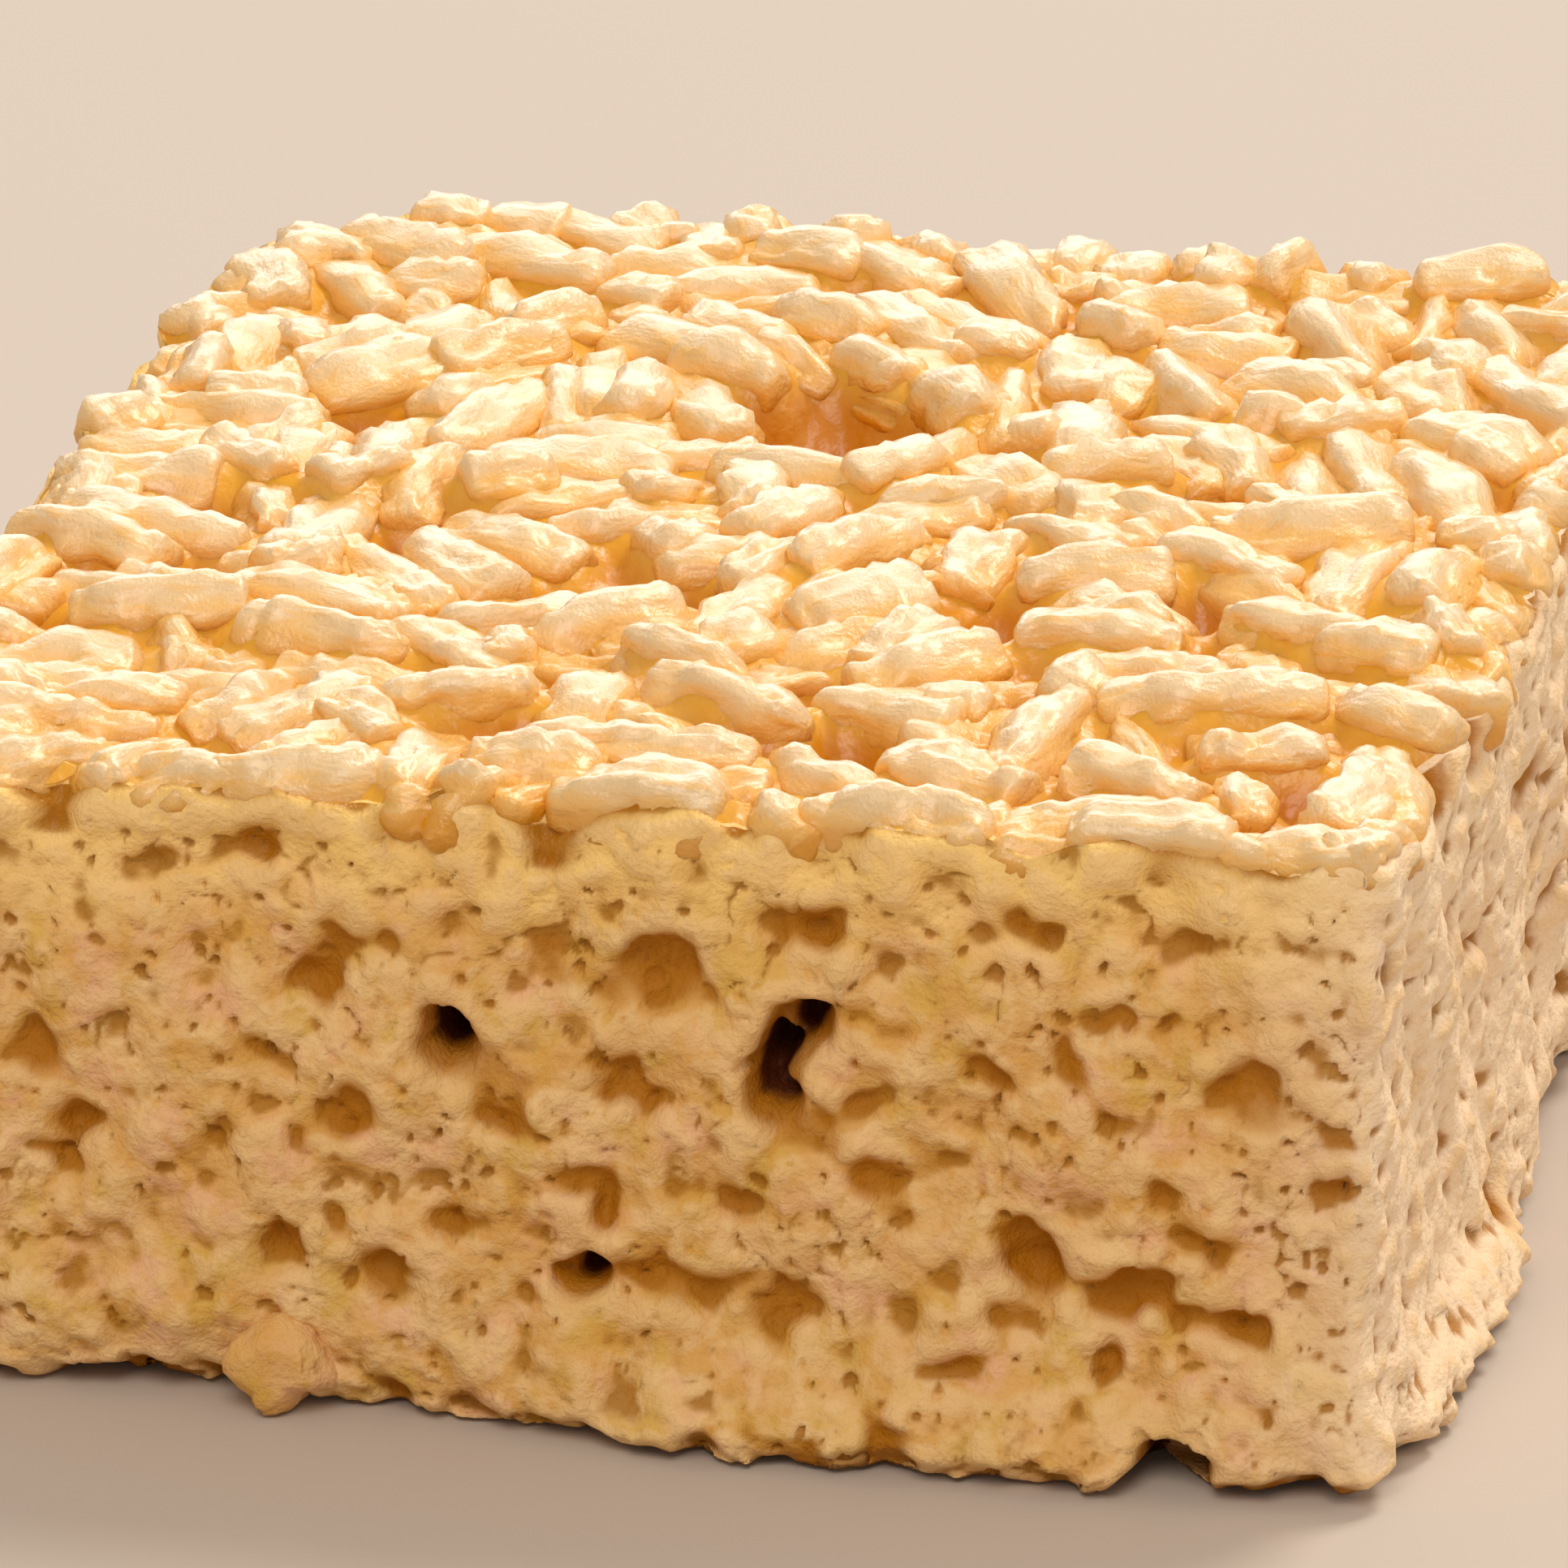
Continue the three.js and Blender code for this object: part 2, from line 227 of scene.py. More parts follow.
def settleGrains(pile, x, y, heading, length, radius, glued):
    # each grain's two ends set its slope and its middle may lift it
    reach = 0.3 * length
    alongX = np.cos(heading) * reach
    alongY = np.sin(heading) * reach
    tail = pile.restingHeight(x - alongX, y - alongY, radius, glued)
    middle = pile.restingHeight(x, y, radius, glued)
    head = pile.restingHeight(x + alongX, y + alongY, radius, glued)
    slope = np.clip((head - tail) / (2 * reach), -grainRule["steepest"], grainRule["steepest"])
    z = np.maximum(np.maximum(middle, head - slope * reach), tail + slope * reach)
    top = z + np.abs(slope) * 0.4 * length + radius
    return z, slope, top


def crossesTopHollow(x, y, heading, length):
    # true where a grain's middle or one of its ends lies inside a hollow's ellipse
    crosses = np.zeros(len(x), bool)
    for share in (-0.4, -0.2, 0, 0.2, 0.4):
        px = x + np.cos(heading) * share * length
        py = y + np.sin(heading) * share * length
        for cx, cy, rx, ry, floor in topHollows:
            crosses |= ((px - cx) / rx) ** 2 + ((py - cy) / ry) ** 2 < 1
    return crosses


def layNamed(draw, grains, pile):
    for x, y, degrees, length in namedGrains:
        radius = between(grainRule["radii"], draw())
        heading = degrees * math.pi / 180
        z, slope, top = settleGrains(
            pile, np.array([x]), np.array([y]), heading, length, radius, grainRule["gluedShare"]
        )
        z = block["pressedLevel"] - radius - grainRule["namedDrop"] * draw()
        grain = dict(x=x, y=y, z=z, heading=heading, slope=float(slope[0]), length=length, radius=radius)
        grains.append(grain)
        pile.add(grain)


def dropStrewn(draw, grains, pile, rule):
    # grains dropped one by one: each keeps the lowest of the places it tries, if it stays under the level
    tries = grainRule["tries"]
    for i in range(rule["count"]):
        length = between(rule["lengths"], draw())
        radius = between(rule["radii"], draw())
        draws = np.array([draw() for k in range(3 * tries)]).reshape(tries, 3)
        x = (draws[:, 0] - 0.5) * (block["width"] - 1)
        y = (draws[:, 1] - 0.5) * (block["depth"] - 1)
        heading = (draws[:, 2] - 0.5) * math.pi
        z, slope, top = settleGrains(pile, x, y, heading, length, radius, rule["gluedShare"])
        top = np.where(crossesTopHollow(x, y, heading, length), 1e9, top)
        best = int(np.argmin(top))
        if top[best] < block["pressedLevel"]:
            grain = dict(
                x=x[best], y=y[best], z=z[best], heading=heading[best], slope=slope[best],
                length=length, radius=radius,
            )
            grains.append(grain)
            pile.add(grain)


fillers = {"count": 190, "lengths": (3.2, 5.8), "radii": (0.95, 1.35), "gluedShare": 0.5}


def layTopGrains():
    # the solid's own grains, then shorter ones pressed into the gaps that these leave
    draw = drawsFrom(grainRule["seed"])
    grains = []
    pile = Pile()
    layNamed(draw, grains, pile)
    dropStrewn(draw, grains, pile, grainRule)
    solidCount = len(grains)
    dropStrewn(draw, grains, pile, fillers)
    print("laid", solidCount, "grains of the solid and", len(grains) - solidCount, "in the gaps")
    return grains


edgeRule = {
    "behind": 0.3,  # how far behind a cut face a grain's plain outline ends; its lumps may reach further
    "halfShare": 0.47,  # share of its length that counts as half of that outline
    "facing": 0.4,  # a grain is shortened only if it points at the face more than this
    "shortest": 2.8,
}


def trimToCut(grains):
    # a grain that comes too near a cut face is shortened from that end, and moved in by what is left;
    # its reach along a normal n is the square root of (half length a.n)^2 + (radius b.n)^2
    half = np.array([block["width"], block["depth"]]) / 2 - block["faceInset"]
    radius = block["wornCorner"] * half[0] / (half[0] + block["faceInset"])
    arcMiddle = (half - radius) * np.array([-1, 1])
    for grain in grains:
        place = np.array([grain["x"], grain["y"]])
        along = np.array([math.cos(grain["heading"]), math.sin(grain["heading"])])
        across = np.array([-along[1], along[0]])
        walls = [(np.array([side, 0.0]), half[0]) for side in (1.0, -1.0)]
        walls += [(np.array([0.0, side]), half[1]) for side in (1.0, -1.0)]
        fromArc = place - arcMiddle
        if fromArc[0] < 0 < fromArc[1]:
            outward = fromArc / np.linalg.norm(fromArc)
            walls.append((outward, arcMiddle @ outward + radius))
        for normal, limit in walls:
            turn = along @ normal
            for step in ("shorten", "move"):
                halfLength = edgeRule["halfShare"] * grain["length"]
                reach = math.hypot(halfLength * turn, grain["radius"] * (across @ normal))
                over = place @ normal + reach - limit + edgeRule["behind"]
                if over > 0 and step == "move":
                    place = place - over * normal
                elif over > 0 and abs(turn) > edgeRule["facing"]:
                    trim = max(min(over / abs(turn), grain["length"] - edgeRule["shortest"]), 0)
                    grain["length"] -= trim
                    place = place - 0.5 * trim * np.sign(turn) * along
        grain["x"], grain["y"] = place
    return grains


topGrains = trimToCut(layTopGrains())


def latticeNoise(points, scale, seed):
    # smooth value noise: a wrapped 32-cube of numbers in -1..1, blended by 3 t^2 - 2 t^3 along each axis
    lattice = np.random.default_rng(seed).uniform(-1, 1, (32, 32, 32))
    placed = np.asarray(points) / scale + 0.37 * seed
    cell = np.floor(placed).astype(int)
    share = placed - cell
    share = share * share * (3 - 2 * share)
    low = cell & 31
    high = (cell + 1) & 31
    total = 0.0
    for cornerX in (0, 1):
        ix = high[..., 0] if cornerX else low[..., 0]
        wx = share[..., 0] if cornerX else 1 - share[..., 0]
        for cornerY in (0, 1):
            iy = high[..., 1] if cornerY else low[..., 1]
            wy = share[..., 1] if cornerY else 1 - share[..., 1]
            for cornerZ in (0, 1):
                iz = high[..., 2] if cornerZ else low[..., 2]
                wz = share[..., 2] if cornerZ else 1 - share[..., 2]
                total = total + lattice[ix, iy, iz] * wx * wy * wz
    return total


def layeredNoise(points, layers):
    # noise at several sizes; a layer is its size, height and seed
    return sum(height * latticeNoise(points, size, seed) for size, height, seed in layers)


def wander(points, size, height, seeds):
    # one noise to a seed, side by side, to move points by
    return height * np.stack([latticeNoise(points, size, seed) for seed in seeds], axis=-1)


def poreField(points, spacing, radii, share, seed):
    # round pits: 1 - (d / r)^2 about the nearest of one jittered point to a cell, some cells left empty
    jitter = np.random.default_rng(seed).uniform(0, 1, (32, 32, 32, 5))
    placed = np.asarray(points) / spacing
    home = np.floor(placed).astype(int)
    deepest = np.zeros(placed.shape[:-1])
    for dx in (-1, 0, 1):
        for dy in (-1, 0, 1):
            for dz in (-1, 0, 1):
                cell = home + np.array([dx, dy, dz])
                wrapped = cell & 31
                draws = jitter[wrapped[..., 0], wrapped[..., 1], wrapped[..., 2]]
                apart = np.sum((placed - cell - draws[..., :3]) ** 2, axis=-1) * spacing**2
                radius = between(radii, draws[..., 3])
                pit = np.where(draws[..., 4] < share, 1 - apart / radius**2, 0)
                deepest = np.maximum(deepest, pit)
    return deepest


def shiftedCopies(field, axis, cells):
    # the field moved along an axis by every whole number of cells up to so many, with the edges repeated
    pad = [(0, 0), (0, 0)]
    pad[axis] = (cells, cells)
    padded = np.pad(field, pad, mode="edge")
    count = field.shape[axis]
    return [np.take(padded, np.arange(k, k + count), axis=axis) for k in range(2 * cells + 1)]


def blurred(field, sigma):
    # a Gaussian kernel along the rows and then along the columns
    half = max(int(3 * sigma), 1)
    kernel = np.exp(-0.5 * (np.arange(-half, half + 1) / sigma) ** 2)
    kernel /= kernel.sum()
    for axis in (0, 1):
        field = sum(weight * copy for weight, copy in zip(kernel, shiftedCopies(field, axis, half)))
    return field


def swollen(field, cells):
    # the highest value within so many cells along each axis
    for axis in (0, 1):
        field = np.maximum.reduce(shiftedCopies(field, axis, cells))
    return field


def makeMesh(name, points, faceSets, attributes, materials, materialOf=None):
    # points in millimetres; each face set is an array of triangles, of quads or of one long outline
    mesh = bpy.data.meshes.new(name)
    sizes = np.concatenate([np.full(len(faces), faces.shape[1]) for faces in faceSets])
    loops = np.concatenate([faces.ravel() for faces in faceSets])
    starts = np.concatenate([[0], np.cumsum(sizes)[:-1]])
    mesh.vertices.add(len(points))
    mesh.vertices.foreach_set("co", (np.asarray(points) * mm).astype(np.float32).ravel())
    mesh.loops.add(len(loops))
    mesh.loops.foreach_set("vertex_index", loops.astype(np.int32))
    mesh.polygons.add(len(sizes))
    mesh.polygons.foreach_set("loop_start", starts.astype(np.int32))
    mesh.polygons.foreach_set("use_smooth", np.ones(len(sizes), bool))
    if materialOf is not None:
        mesh.polygons.foreach_set("material_index", materialOf.astype(np.int32))
    for key, values in attributes.items():
        isVector = np.size(values) == 3 * len(points)
        layer = mesh.attributes.new(key, "FLOAT_VECTOR" if isVector else "FLOAT", "POINT")
        layer.data.foreach_set("vector" if isVector else "value", np.asarray(values, np.float32).ravel())
    mesh.update(calc_edges=True)
    if mesh.validate():
        print(name, "had faces that Blender mended")
    for material in materials:
        mesh.materials.append(material)
    piece = bpy.data.objects.new(name, mesh)
    bpy.context.scene.collection.objects.link(piece)
    return piece


def gridQuads(rows, columns, start=0):
    # quads of a rows x columns grid of points, facing (along a row) x (from row to row)
    index = start + np.arange(rows * columns).reshape(rows, columns)
    corners = [index[:-1, :-1], index[:-1, 1:], index[1:, 1:], index[1:, :-1]]
    return np.stack(corners, axis=-1).reshape(-1, 4)


innerGrains = {
    "spacing": 2.05,  # one grain to each cell of this size
    "jitter": 0.9,
    "halfLengths": (1.8, 3.2),
    "halfWidths": (0.85, 1.3),
    "flatness": (0.75, 0.95),
    "tilt": 14,  # degrees, as a spread about level
    "topLevel": 20.2,
    "warp": (0.85, 0.36, (21, 22, 23)),  # size, height and seeds of the dents in their outlines
    "longest": 5.5,  # more than half the length of any grain
    "seed": 11,
}


def frameOf(heading, slope, halfLength, halfWidth, halfHeight):
    # rows: long axis, level cross axis and upward axis, each divided by the half size along it
    along = np.stack([np.cos(heading), np.sin(heading), slope], axis=-1)
    along /= np.linalg.norm(along, axis=-1, keepdims=True)
    across = np.stack([-np.sin(heading), np.cos(heading), np.zeros_like(heading)], axis=-1)
    upward = np.cross(along, across)
    halves = np.stack([halfLength, halfWidth, halfHeight], axis=-1)
    return np.stack([along, across, upward], axis=1) / halves[..., None]


def layInnerGrains():
    # one jittered ellipsoid in each cell of the block, lying nearly level with any heading
    rng = np.random.default_rng(innerGrains["seed"])
    size = np.array([block["width"], block["depth"], innerGrains["topLevel"]])
    counts = np.ceil(size / innerGrains["spacing"]).astype(int)
    cells = np.stack(np.meshgrid(*[np.arange(n) + 0.5 for n in counts], indexing="ij"), axis=-1)
    cells = cells.reshape(-1, 3)
    cells = cells + innerGrains["jitter"] * rng.uniform(-0.5, 0.5, cells.shape)
    centres = cells / counts * size - np.array([size[0] / 2, size[1] / 2, 0])
    count = len(centres)
    halfLength = rng.uniform(*innerGrains["halfLengths"], count)
    halfWidth = rng.uniform(*innerGrains["halfWidths"], count)
    halfHeight = halfWidth * rng.uniform(*innerGrains["flatness"], count)
    slope = np.tan(np.radians(rng.normal(0, innerGrains["tilt"], count)))
    frames = frameOf(rng.uniform(0, math.pi, count), slope, halfLength, halfWidth, halfHeight)
    return centres, frames, halfHeight


def grainTable(grains):
    return {key: np.array([grain[key] for grain in grains], float) for key in grains[0]}


def joinGrains():
    # the inner ellipsoids and those that stand for the grains on top, as one set of arrays
    centres, frames, thickness = layInnerGrains()
    table = grainTable(topGrains)
    topCentres = np.stack([table["x"], table["y"], table["z"]], axis=-1)
    radius = table["radius"]
    topFrames = frameOf(table["heading"], table["slope"], 0.5 * table["length"], radius, radius)
    return (
        np.concatenate([centres, topCentres]),
        np.concatenate([frames, topFrames]),
        np.concatenate([thickness, radius]),
    )


def castIntoGrains(points, directions, grains):
    # ray and ellipsoid: |M (p + t d - c)| = 1, solved for the smaller t; 0 where the point is inside one.
    # it also gives how deep inside its grain a point lies, its lead over the next one and its number
    centres, frames, thickness = grains
    depth = np.full(points.shape[:2], farOff)
    within = np.full(points.shape[:2], -3.0)
    lead = np.zeros(points.shape[:2])
    number = np.zeros(points.shape[:2], int)
    tile = 16
    for i in range(0, points.shape[0], tile):
        for j in range(0, points.shape[1], tile):
            part = (slice(i, i + tile), slice(j, j + tile))
            shape = points[part].shape[:2]
            p = points[part].reshape(-1, 3)
            d = directions[part].reshape(-1, 3)
            middle = p.mean(axis=0)
            spread = np.linalg.norm(p - middle, axis=1).max()
            apart = np.linalg.norm(centres - middle, axis=1)
            near = np.flatnonzero(apart < spread + innerGrains["longest"])
            if len(near) < 2:
                continue
            turned = frames[near].reshape(-1, 3).T
            o = (p @ turned).reshape(len(p), -1, 3) - np.einsum("kij,kj->ki", frames[near], centres[near])
            r = (d @ turned).reshape(len(p), -1, 3)
            a = np.sum(r * r, axis=-1)
            b = np.sum(o * r, axis=-1)
            c = np.sum(o * o, axis=-1)
            root = b * b - a * (c - 1)
            first = (-b - np.sqrt(np.maximum(root, 0))) / a
            first = np.where((root > 0) & (first > 0), first, farOff)
            first = np.where(c < 1, 0, first)
            inside = (1 - np.sqrt(c)) * thickness[near]
            order = np.argpartition(-inside, 1, axis=1)[:, :2]
            best = np.take_along_axis(inside, order, axis=1)
            depth[part] = first.min(axis=1).reshape(shape)
            within[part] = best[:, 0].reshape(shape)
            lead[part] = (best[:, 0] - best[:, 1]).reshape(shape)
            number[part] = near[order[:, 0]].reshape(shape)
    return depth, within, lead, number


# the four sides, each from the middle of one rounded corner to the middle of the next
sides = [
    {"name": "cutFront", "tangent": (1, 0), "normal": (0, -1), "corners": ("knife", "knife")},
    {"name": "cutRight", "tangent": (0, 1), "normal": (1, 0), "corners": ("knife", "knife")},
    {"name": "cutBack", "tangent": (-1, 0), "normal": (0, 1), "corners": ("knife", "worn")},
    {"name": "cutLeft", "tangent": (0, -1), "normal": (-1, 0), "corners": ("worn", "knife")},
]

cut = {
    # step and rows of each side's grid
    "grids": {
        "cutFront": (0.125, 150),
        "cutRight": (0.16, 140),
        "cutBack": (0.19, 116),
        "cutLeft": (0.19, 116),
    },
    "fill": 0.6,  # how fast the marshmallow between two cut grains falls back
    "fillStart": 0.04,
    "fillMost": 0.24,
    "uneven": 0.16,  # how unevenly the cut grains were torn
    "toneSeed": 41,
    "groove": (0.06, 0.09),  # depth and width of the line between two grains that touch
    "openPatches": ((1.7, 1, 31), (1.1, 0.35, 32)),  # size, height and seed: where gaps stay open
    "openFrom": (-0.2, 0.3),
    "openReach": (0.25, 0.95),
    "openDepths": ((2.2, 0.5, 33),),
    "hollowGrow": 1.1,
    "hollowDent": (0.75, 0.42, (61, 62)),  # size, height and seeds of the dents in its outline
    "heart": (0.15, 0.5),  # where in its ellipse a hollow stops being open for certain
    "shallow": 0.5,  # share of its depth that a hollow keeps, unless it is one of the deep ones
    "deepFrom": 2.9,
    "softness": 0.2,  # how softly a shallow hollow is rounded at its rim
    "deepSoftness": 0.8,  # the same for a deep one, in cells
    "deepLimits": (1.2, 1.8),  # hollows go from shallow to deep between these
    "lumps": ((3.2, 0.22, 1), (1.5, 0.25, 2), (0.7, 0.16, 3), (0.34, 0.07, 6)),  # size, height, seed
    "poreDent": (0.4, 0.2, (64, 65, 66)),
    # spacing, least and greatest radius, share of cells with a pit, depth and seed
    "pores": ((0.85, (0.14, 0.36), 0.42, 0.32, 4), (0.5, (0.1, 0.2), 0.42, 0.16, 5)),
    "cracks": (1.1, 0.09, 0.16, 67),  # size, width, depth and seed of the thin wavy crevices
    "cracked": ((1.6, 1, 68),),  # where there are crevices
    "crackedFrom": (-0.05, 0.35),
    "bites": ((1.3, 1, 7), (0.52, 0.3, 8)),  # along the foot
    "biteLevels": (1.7, 0.2),
    "knobs": -0.6,  # the lowest value of the bites, which stands out
    "rimRelief": (0.6, 1.0),  # share of the relief at the rim and well below it
    "rimBand": (0.2, 3.0),
    "lastSoftness": 0.7,
    "tuck": 0.15,
    "overlap": 0.6,  # how far each side runs on round the corners, under its neighbour
    "hollowShadeDepth": 2.6,  # a hollow as deep as this takes the full painted shade
    # reach and depth of the measure that paints shade into pits and light onto bumps
    "pitReach": 0.5,
    "pitDepth": 0.18,
    "paintedRightLightShares": (0.6, 1.0),  # painted light, paler towards the right: its share on the other sides and on the right one
    "paintedRightLightFrom": (18.5, 25.0),
    "nearTop": (6.0, 0.8),
    # how far the lips run in from the widest reach, in how many steps, and how they lie
    "bottomLip": {"reach": 5.4, "steps": 9, "lift": -0.01, "lastStep": 0.5},
    "topLip": {"reach": 3.7, "steps": 16, "lift": 0.012, "lastStep": -0.4},
    "lipFade": 6,
    "crumbSteps": 2,  # the first steps over the rim are still crumb
    "wall": 0.72,  # the hidden inner wall, as a share of the plan
    "wallLevels": (15.5, 4.0),
}


def sideMeasures(side):
    # unit vectors along and out of a side, half its length, its reach, its two corner radii and the
    # lengths of its first arc and its straight stretch
    tangent = np.array(side["tangent"], float)
    normal = np.array(side["normal"], float)
    halfSize = np.array([block["width"], block["depth"]]) / 2
    along = abs(tangent @ halfSize)
    reach = abs(normal @ halfSize)
    first, last = (block[corner + "Corner"] for corner in side["corners"])
    return tangent, normal, along, reach, first, last, first * math.pi / 4, 2 * along - first - last


def sideOutline(side, step):
    # an even walk along one side of the plan: centre + r (sin a, cos a) with a from -45 to 0 degrees,
    # a straight stretch, and the same arc from 0 to 45 degrees, with an overlap added at both ends
    tangent, normal, along, reach, first, last, firstArc, straight = sideMeasures(side)
    total = firstArc + straight + last * math.pi / 4
    walk = np.linspace(-cut["overlap"], total + cut["overlap"], int((total + 2 * cut["overlap"]) / step))
    beyond = np.maximum(walk - firstArc - straight, 0)
    before = np.maximum(firstArc - walk, 0)
    angle = beyond / last - before / first
    radius = np.where(beyond > 0, last, first)
    middle = np.clip(walk - firstArc, 0, straight) + first - along
    reachMiddle = reach - radius
    plan = (middle + radius * np.sin(angle))[:, None] * tangent
    plan = plan + (reachMiddle + radius * np.cos(angle))[:, None] * normal
    outward = np.sin(angle)[:, None] * tangent + np.cos(angle)[:, None] * normal
    tucked = smoothStep(0, cut["overlap"], np.maximum(-walk, walk - total))
    return plan, outward, walk, tucked


def grainsInside(side, points, walk, rim, rows):
    # how far inside the cut the grains lie, as the least distance of their points in each cell of a side's
    # grid: reach - b along the straight stretch, and r - distance from the arc's middle at the corners
    tangent, normal, along, reach, first, last, firstArc, straight = sideMeasures(side)
    x, y, z = points.T
    inset = sideInset(x, y, z)
    flat = np.stack([x / (1 - 2 * inset / block["width"]), y / (1 - 2 * inset / block["depth"])], axis=-1)
    a = flat @ tangent
    b = flat @ normal
    place = a + along - first + firstArc
    inside = reach - b
    arcs = [(first, first - along, firstArc), (last, along - last, firstArc + straight)]
    for radius, middle, start in arcs:
        fromMiddle = a - middle
        forward = b - (reach - radius)
        onArc = (forward > 0) & (fromMiddle * np.sign(middle) > 0)
        place = np.where(onArc, start + radius * np.arctan2(fromMiddle, forward), place)
        inside = np.where(onArc, radius - np.hypot(fromMiddle, forward), inside)
    column = np.rint(np.interp(place, walk, np.arange(len(walk)), -1, -1)).astype(int)
    row = np.rint(z / rim[column] * (rows - 1)).astype(int)
    near = (inside < 3) & (column >= 0) & (row >= 0) & (row < rows)
    field = np.full((rows, len(walk)), farOff)
    np.minimum.at(field, (row[near], column[near]), inside[near])
    return -swollen(-field, 2)


def drawnIn(x, y, z):
    # a point of the plan moved in by the inset, as a shrinking of the plan
    inset = sideInset(x, y, z)
    return x * (1 - 2 * inset / block["width"]), y * (1 - 2 * inset / block["depth"])


def listHollows(side):
    # the hollows of one side as along, z, width, height and reach: named in front, strewn elsewhere
    if side["name"] == "cutFront":
        return frontHollows
    draw = drawsFrom(strewnHollows["seeds"][side["name"]])
    along = block["depth"] if side["normal"][0] else block["width"]
    if side["name"] != "cutRight":
        along -= block["wornCorner"]
    rows = []
    count = strewnHollows["perSide"]
    for i in range(count):
        share = (i + 0.15 + 0.7 * draw()) / count
        z = between((1.5, block["bedLevel"] - 1), draw())
        width = between(strewnHollows["widths"], draw() ** 2)
        height = width * between((0.6, 1.1), draw())
        reach = between(strewnHollows["reach"], draw())
        rows.append(((share - 0.5) * (along - 4), z, width, height, reach))
    return rows


def clearHollows(grains, side):
    # leaves out the grains that would fill the heart of a hollow
    centres, frames, thickness = grains
    kept = np.ones(len(centres), bool)
    normal = np.array([*side["normal"], 0.0])
    tangent = np.abs(np.array([*side["tangent"], 0.0]))
    faceAt = abs(normal[0]) * block["width"] / 2 + abs(normal[1]) * block["depth"] / 2
    for s, z, width, height, reach in listHollows(side):
        surface = s * tangent + faceAt * normal
        inset = sideInset(surface[0], surface[1], z)
        for share in (0.0, 0.35):
            spot = surface + np.array([0, 0, z]) - (inset + share * reach) * normal
            reached = np.linalg.norm(np.einsum("kij,kj->ki", frames, spot - centres), axis=1)
            kept &= reached > 1.1
    return centres[kept], frames[kept], thickness[kept]


def hollowLimit(side, along, z):
    # ellipses of the hollows on a side: reach sqrt(1 - e), and a core where the hollow is open for certain
    limit = np.zeros_like(z)
    core = np.zeros_like(z)
    grow = cut["hollowGrow"]
    for s, level, width, height, reach in listHollows(side):
        e = ((along - s) / (grow * width / 2)) ** 2 + ((z - level) / (grow * height / 2)) ** 2
        bowl = reach * np.sqrt(np.maximum(1 - e, 0)) * (1 if reach > cut["deepFrom"] else cut["shallow"])
        limit = np.maximum(limit, bowl)
        core = np.maximum(core, bowl * (1 - smoothStep(*cut["heart"], e)))
    return limit, core


def surfaceRelief(points):
    # noise at four sizes, less crevices along the zero level of another noise, where a third one is high,
    # and less two sizes of pits whose outlines are dented
    relief = layeredNoise(points, cut["lumps"])
    dented = points + wander(points, *cut["poreDent"])
    size, width, depth, seed = cut["cracks"]
    crack = np.exp(-((latticeNoise(dented, size, seed) / width) ** 2))
    relief = relief - depth * crack * smoothStep(*cut["crackedFrom"], layeredNoise(points, cut["cracked"]))
    for spacing, radii, share, depth, seed in cut["pores"]:
        relief = relief - depth * poreField(dented, spacing, radii, share, seed)
    return relief


def cutDepth(points, directions, limit, core, grains):
    # how far the cut surface falls back: hardly in a cut grain, to the next grain or the limit in a gap
    # that is open, and only a little where marshmallow fills it
    warped = points + wander(points, *innerGrains["warp"])
    depth, within, lead, number = castIntoGrains(warped, directions, grains)
    share = smoothStep(*cut["openFrom"], layeredNoise(points, cut["openPatches"]))
    natural = share * between(cut["openReach"], 0.5 + layeredNoise(points, cut["openDepths"]))
    filled = np.minimum(cut["fill"] * np.maximum(cut["fillStart"] - within, 0), cut["fillMost"])
    deep = np.maximum(np.minimum(depth, np.maximum(limit, natural)), core)
    grooveDepth, grooveWidth = cut["groove"]
    line = np.exp(-((lead / grooveWidth) ** 2)) * (within > 0)
    fallen = np.maximum(np.maximum(np.minimum(filled, depth + 0.05), deep), grooveDepth * line)
    film = np.maximum(smoothStep(0.0, -0.12, within), 0.6 * line)
    tones = np.random.default_rng(cut["toneSeed"]).uniform(-1, 1, len(grains[0]))
    tone = tones[number] * smoothStep(0, 0.15, within)
    return fallen + cut["uneven"] * (0.5 - 0.5 * tone), film, tone


# the half sunk grains of the layer beneath, which show in the gaps of the top
lowerGrains = {
    "seed": 77,
    "spacing": 2.9,
    "jitter": 0.45,
    "radii": (1.15, 1.5),
    "lengths": (5.6, 7.6),
    "slopes": (-0.2, 0.2),
    "sunk": 0.95,
    "sunkMore": (0, 0.5),
    "massDrop": 1.0,  # how far the mass between them lies under the bed level
    "hollowDrop": 0.4,
    "hollowDent": ((1.6, 0.35, 51),),
}


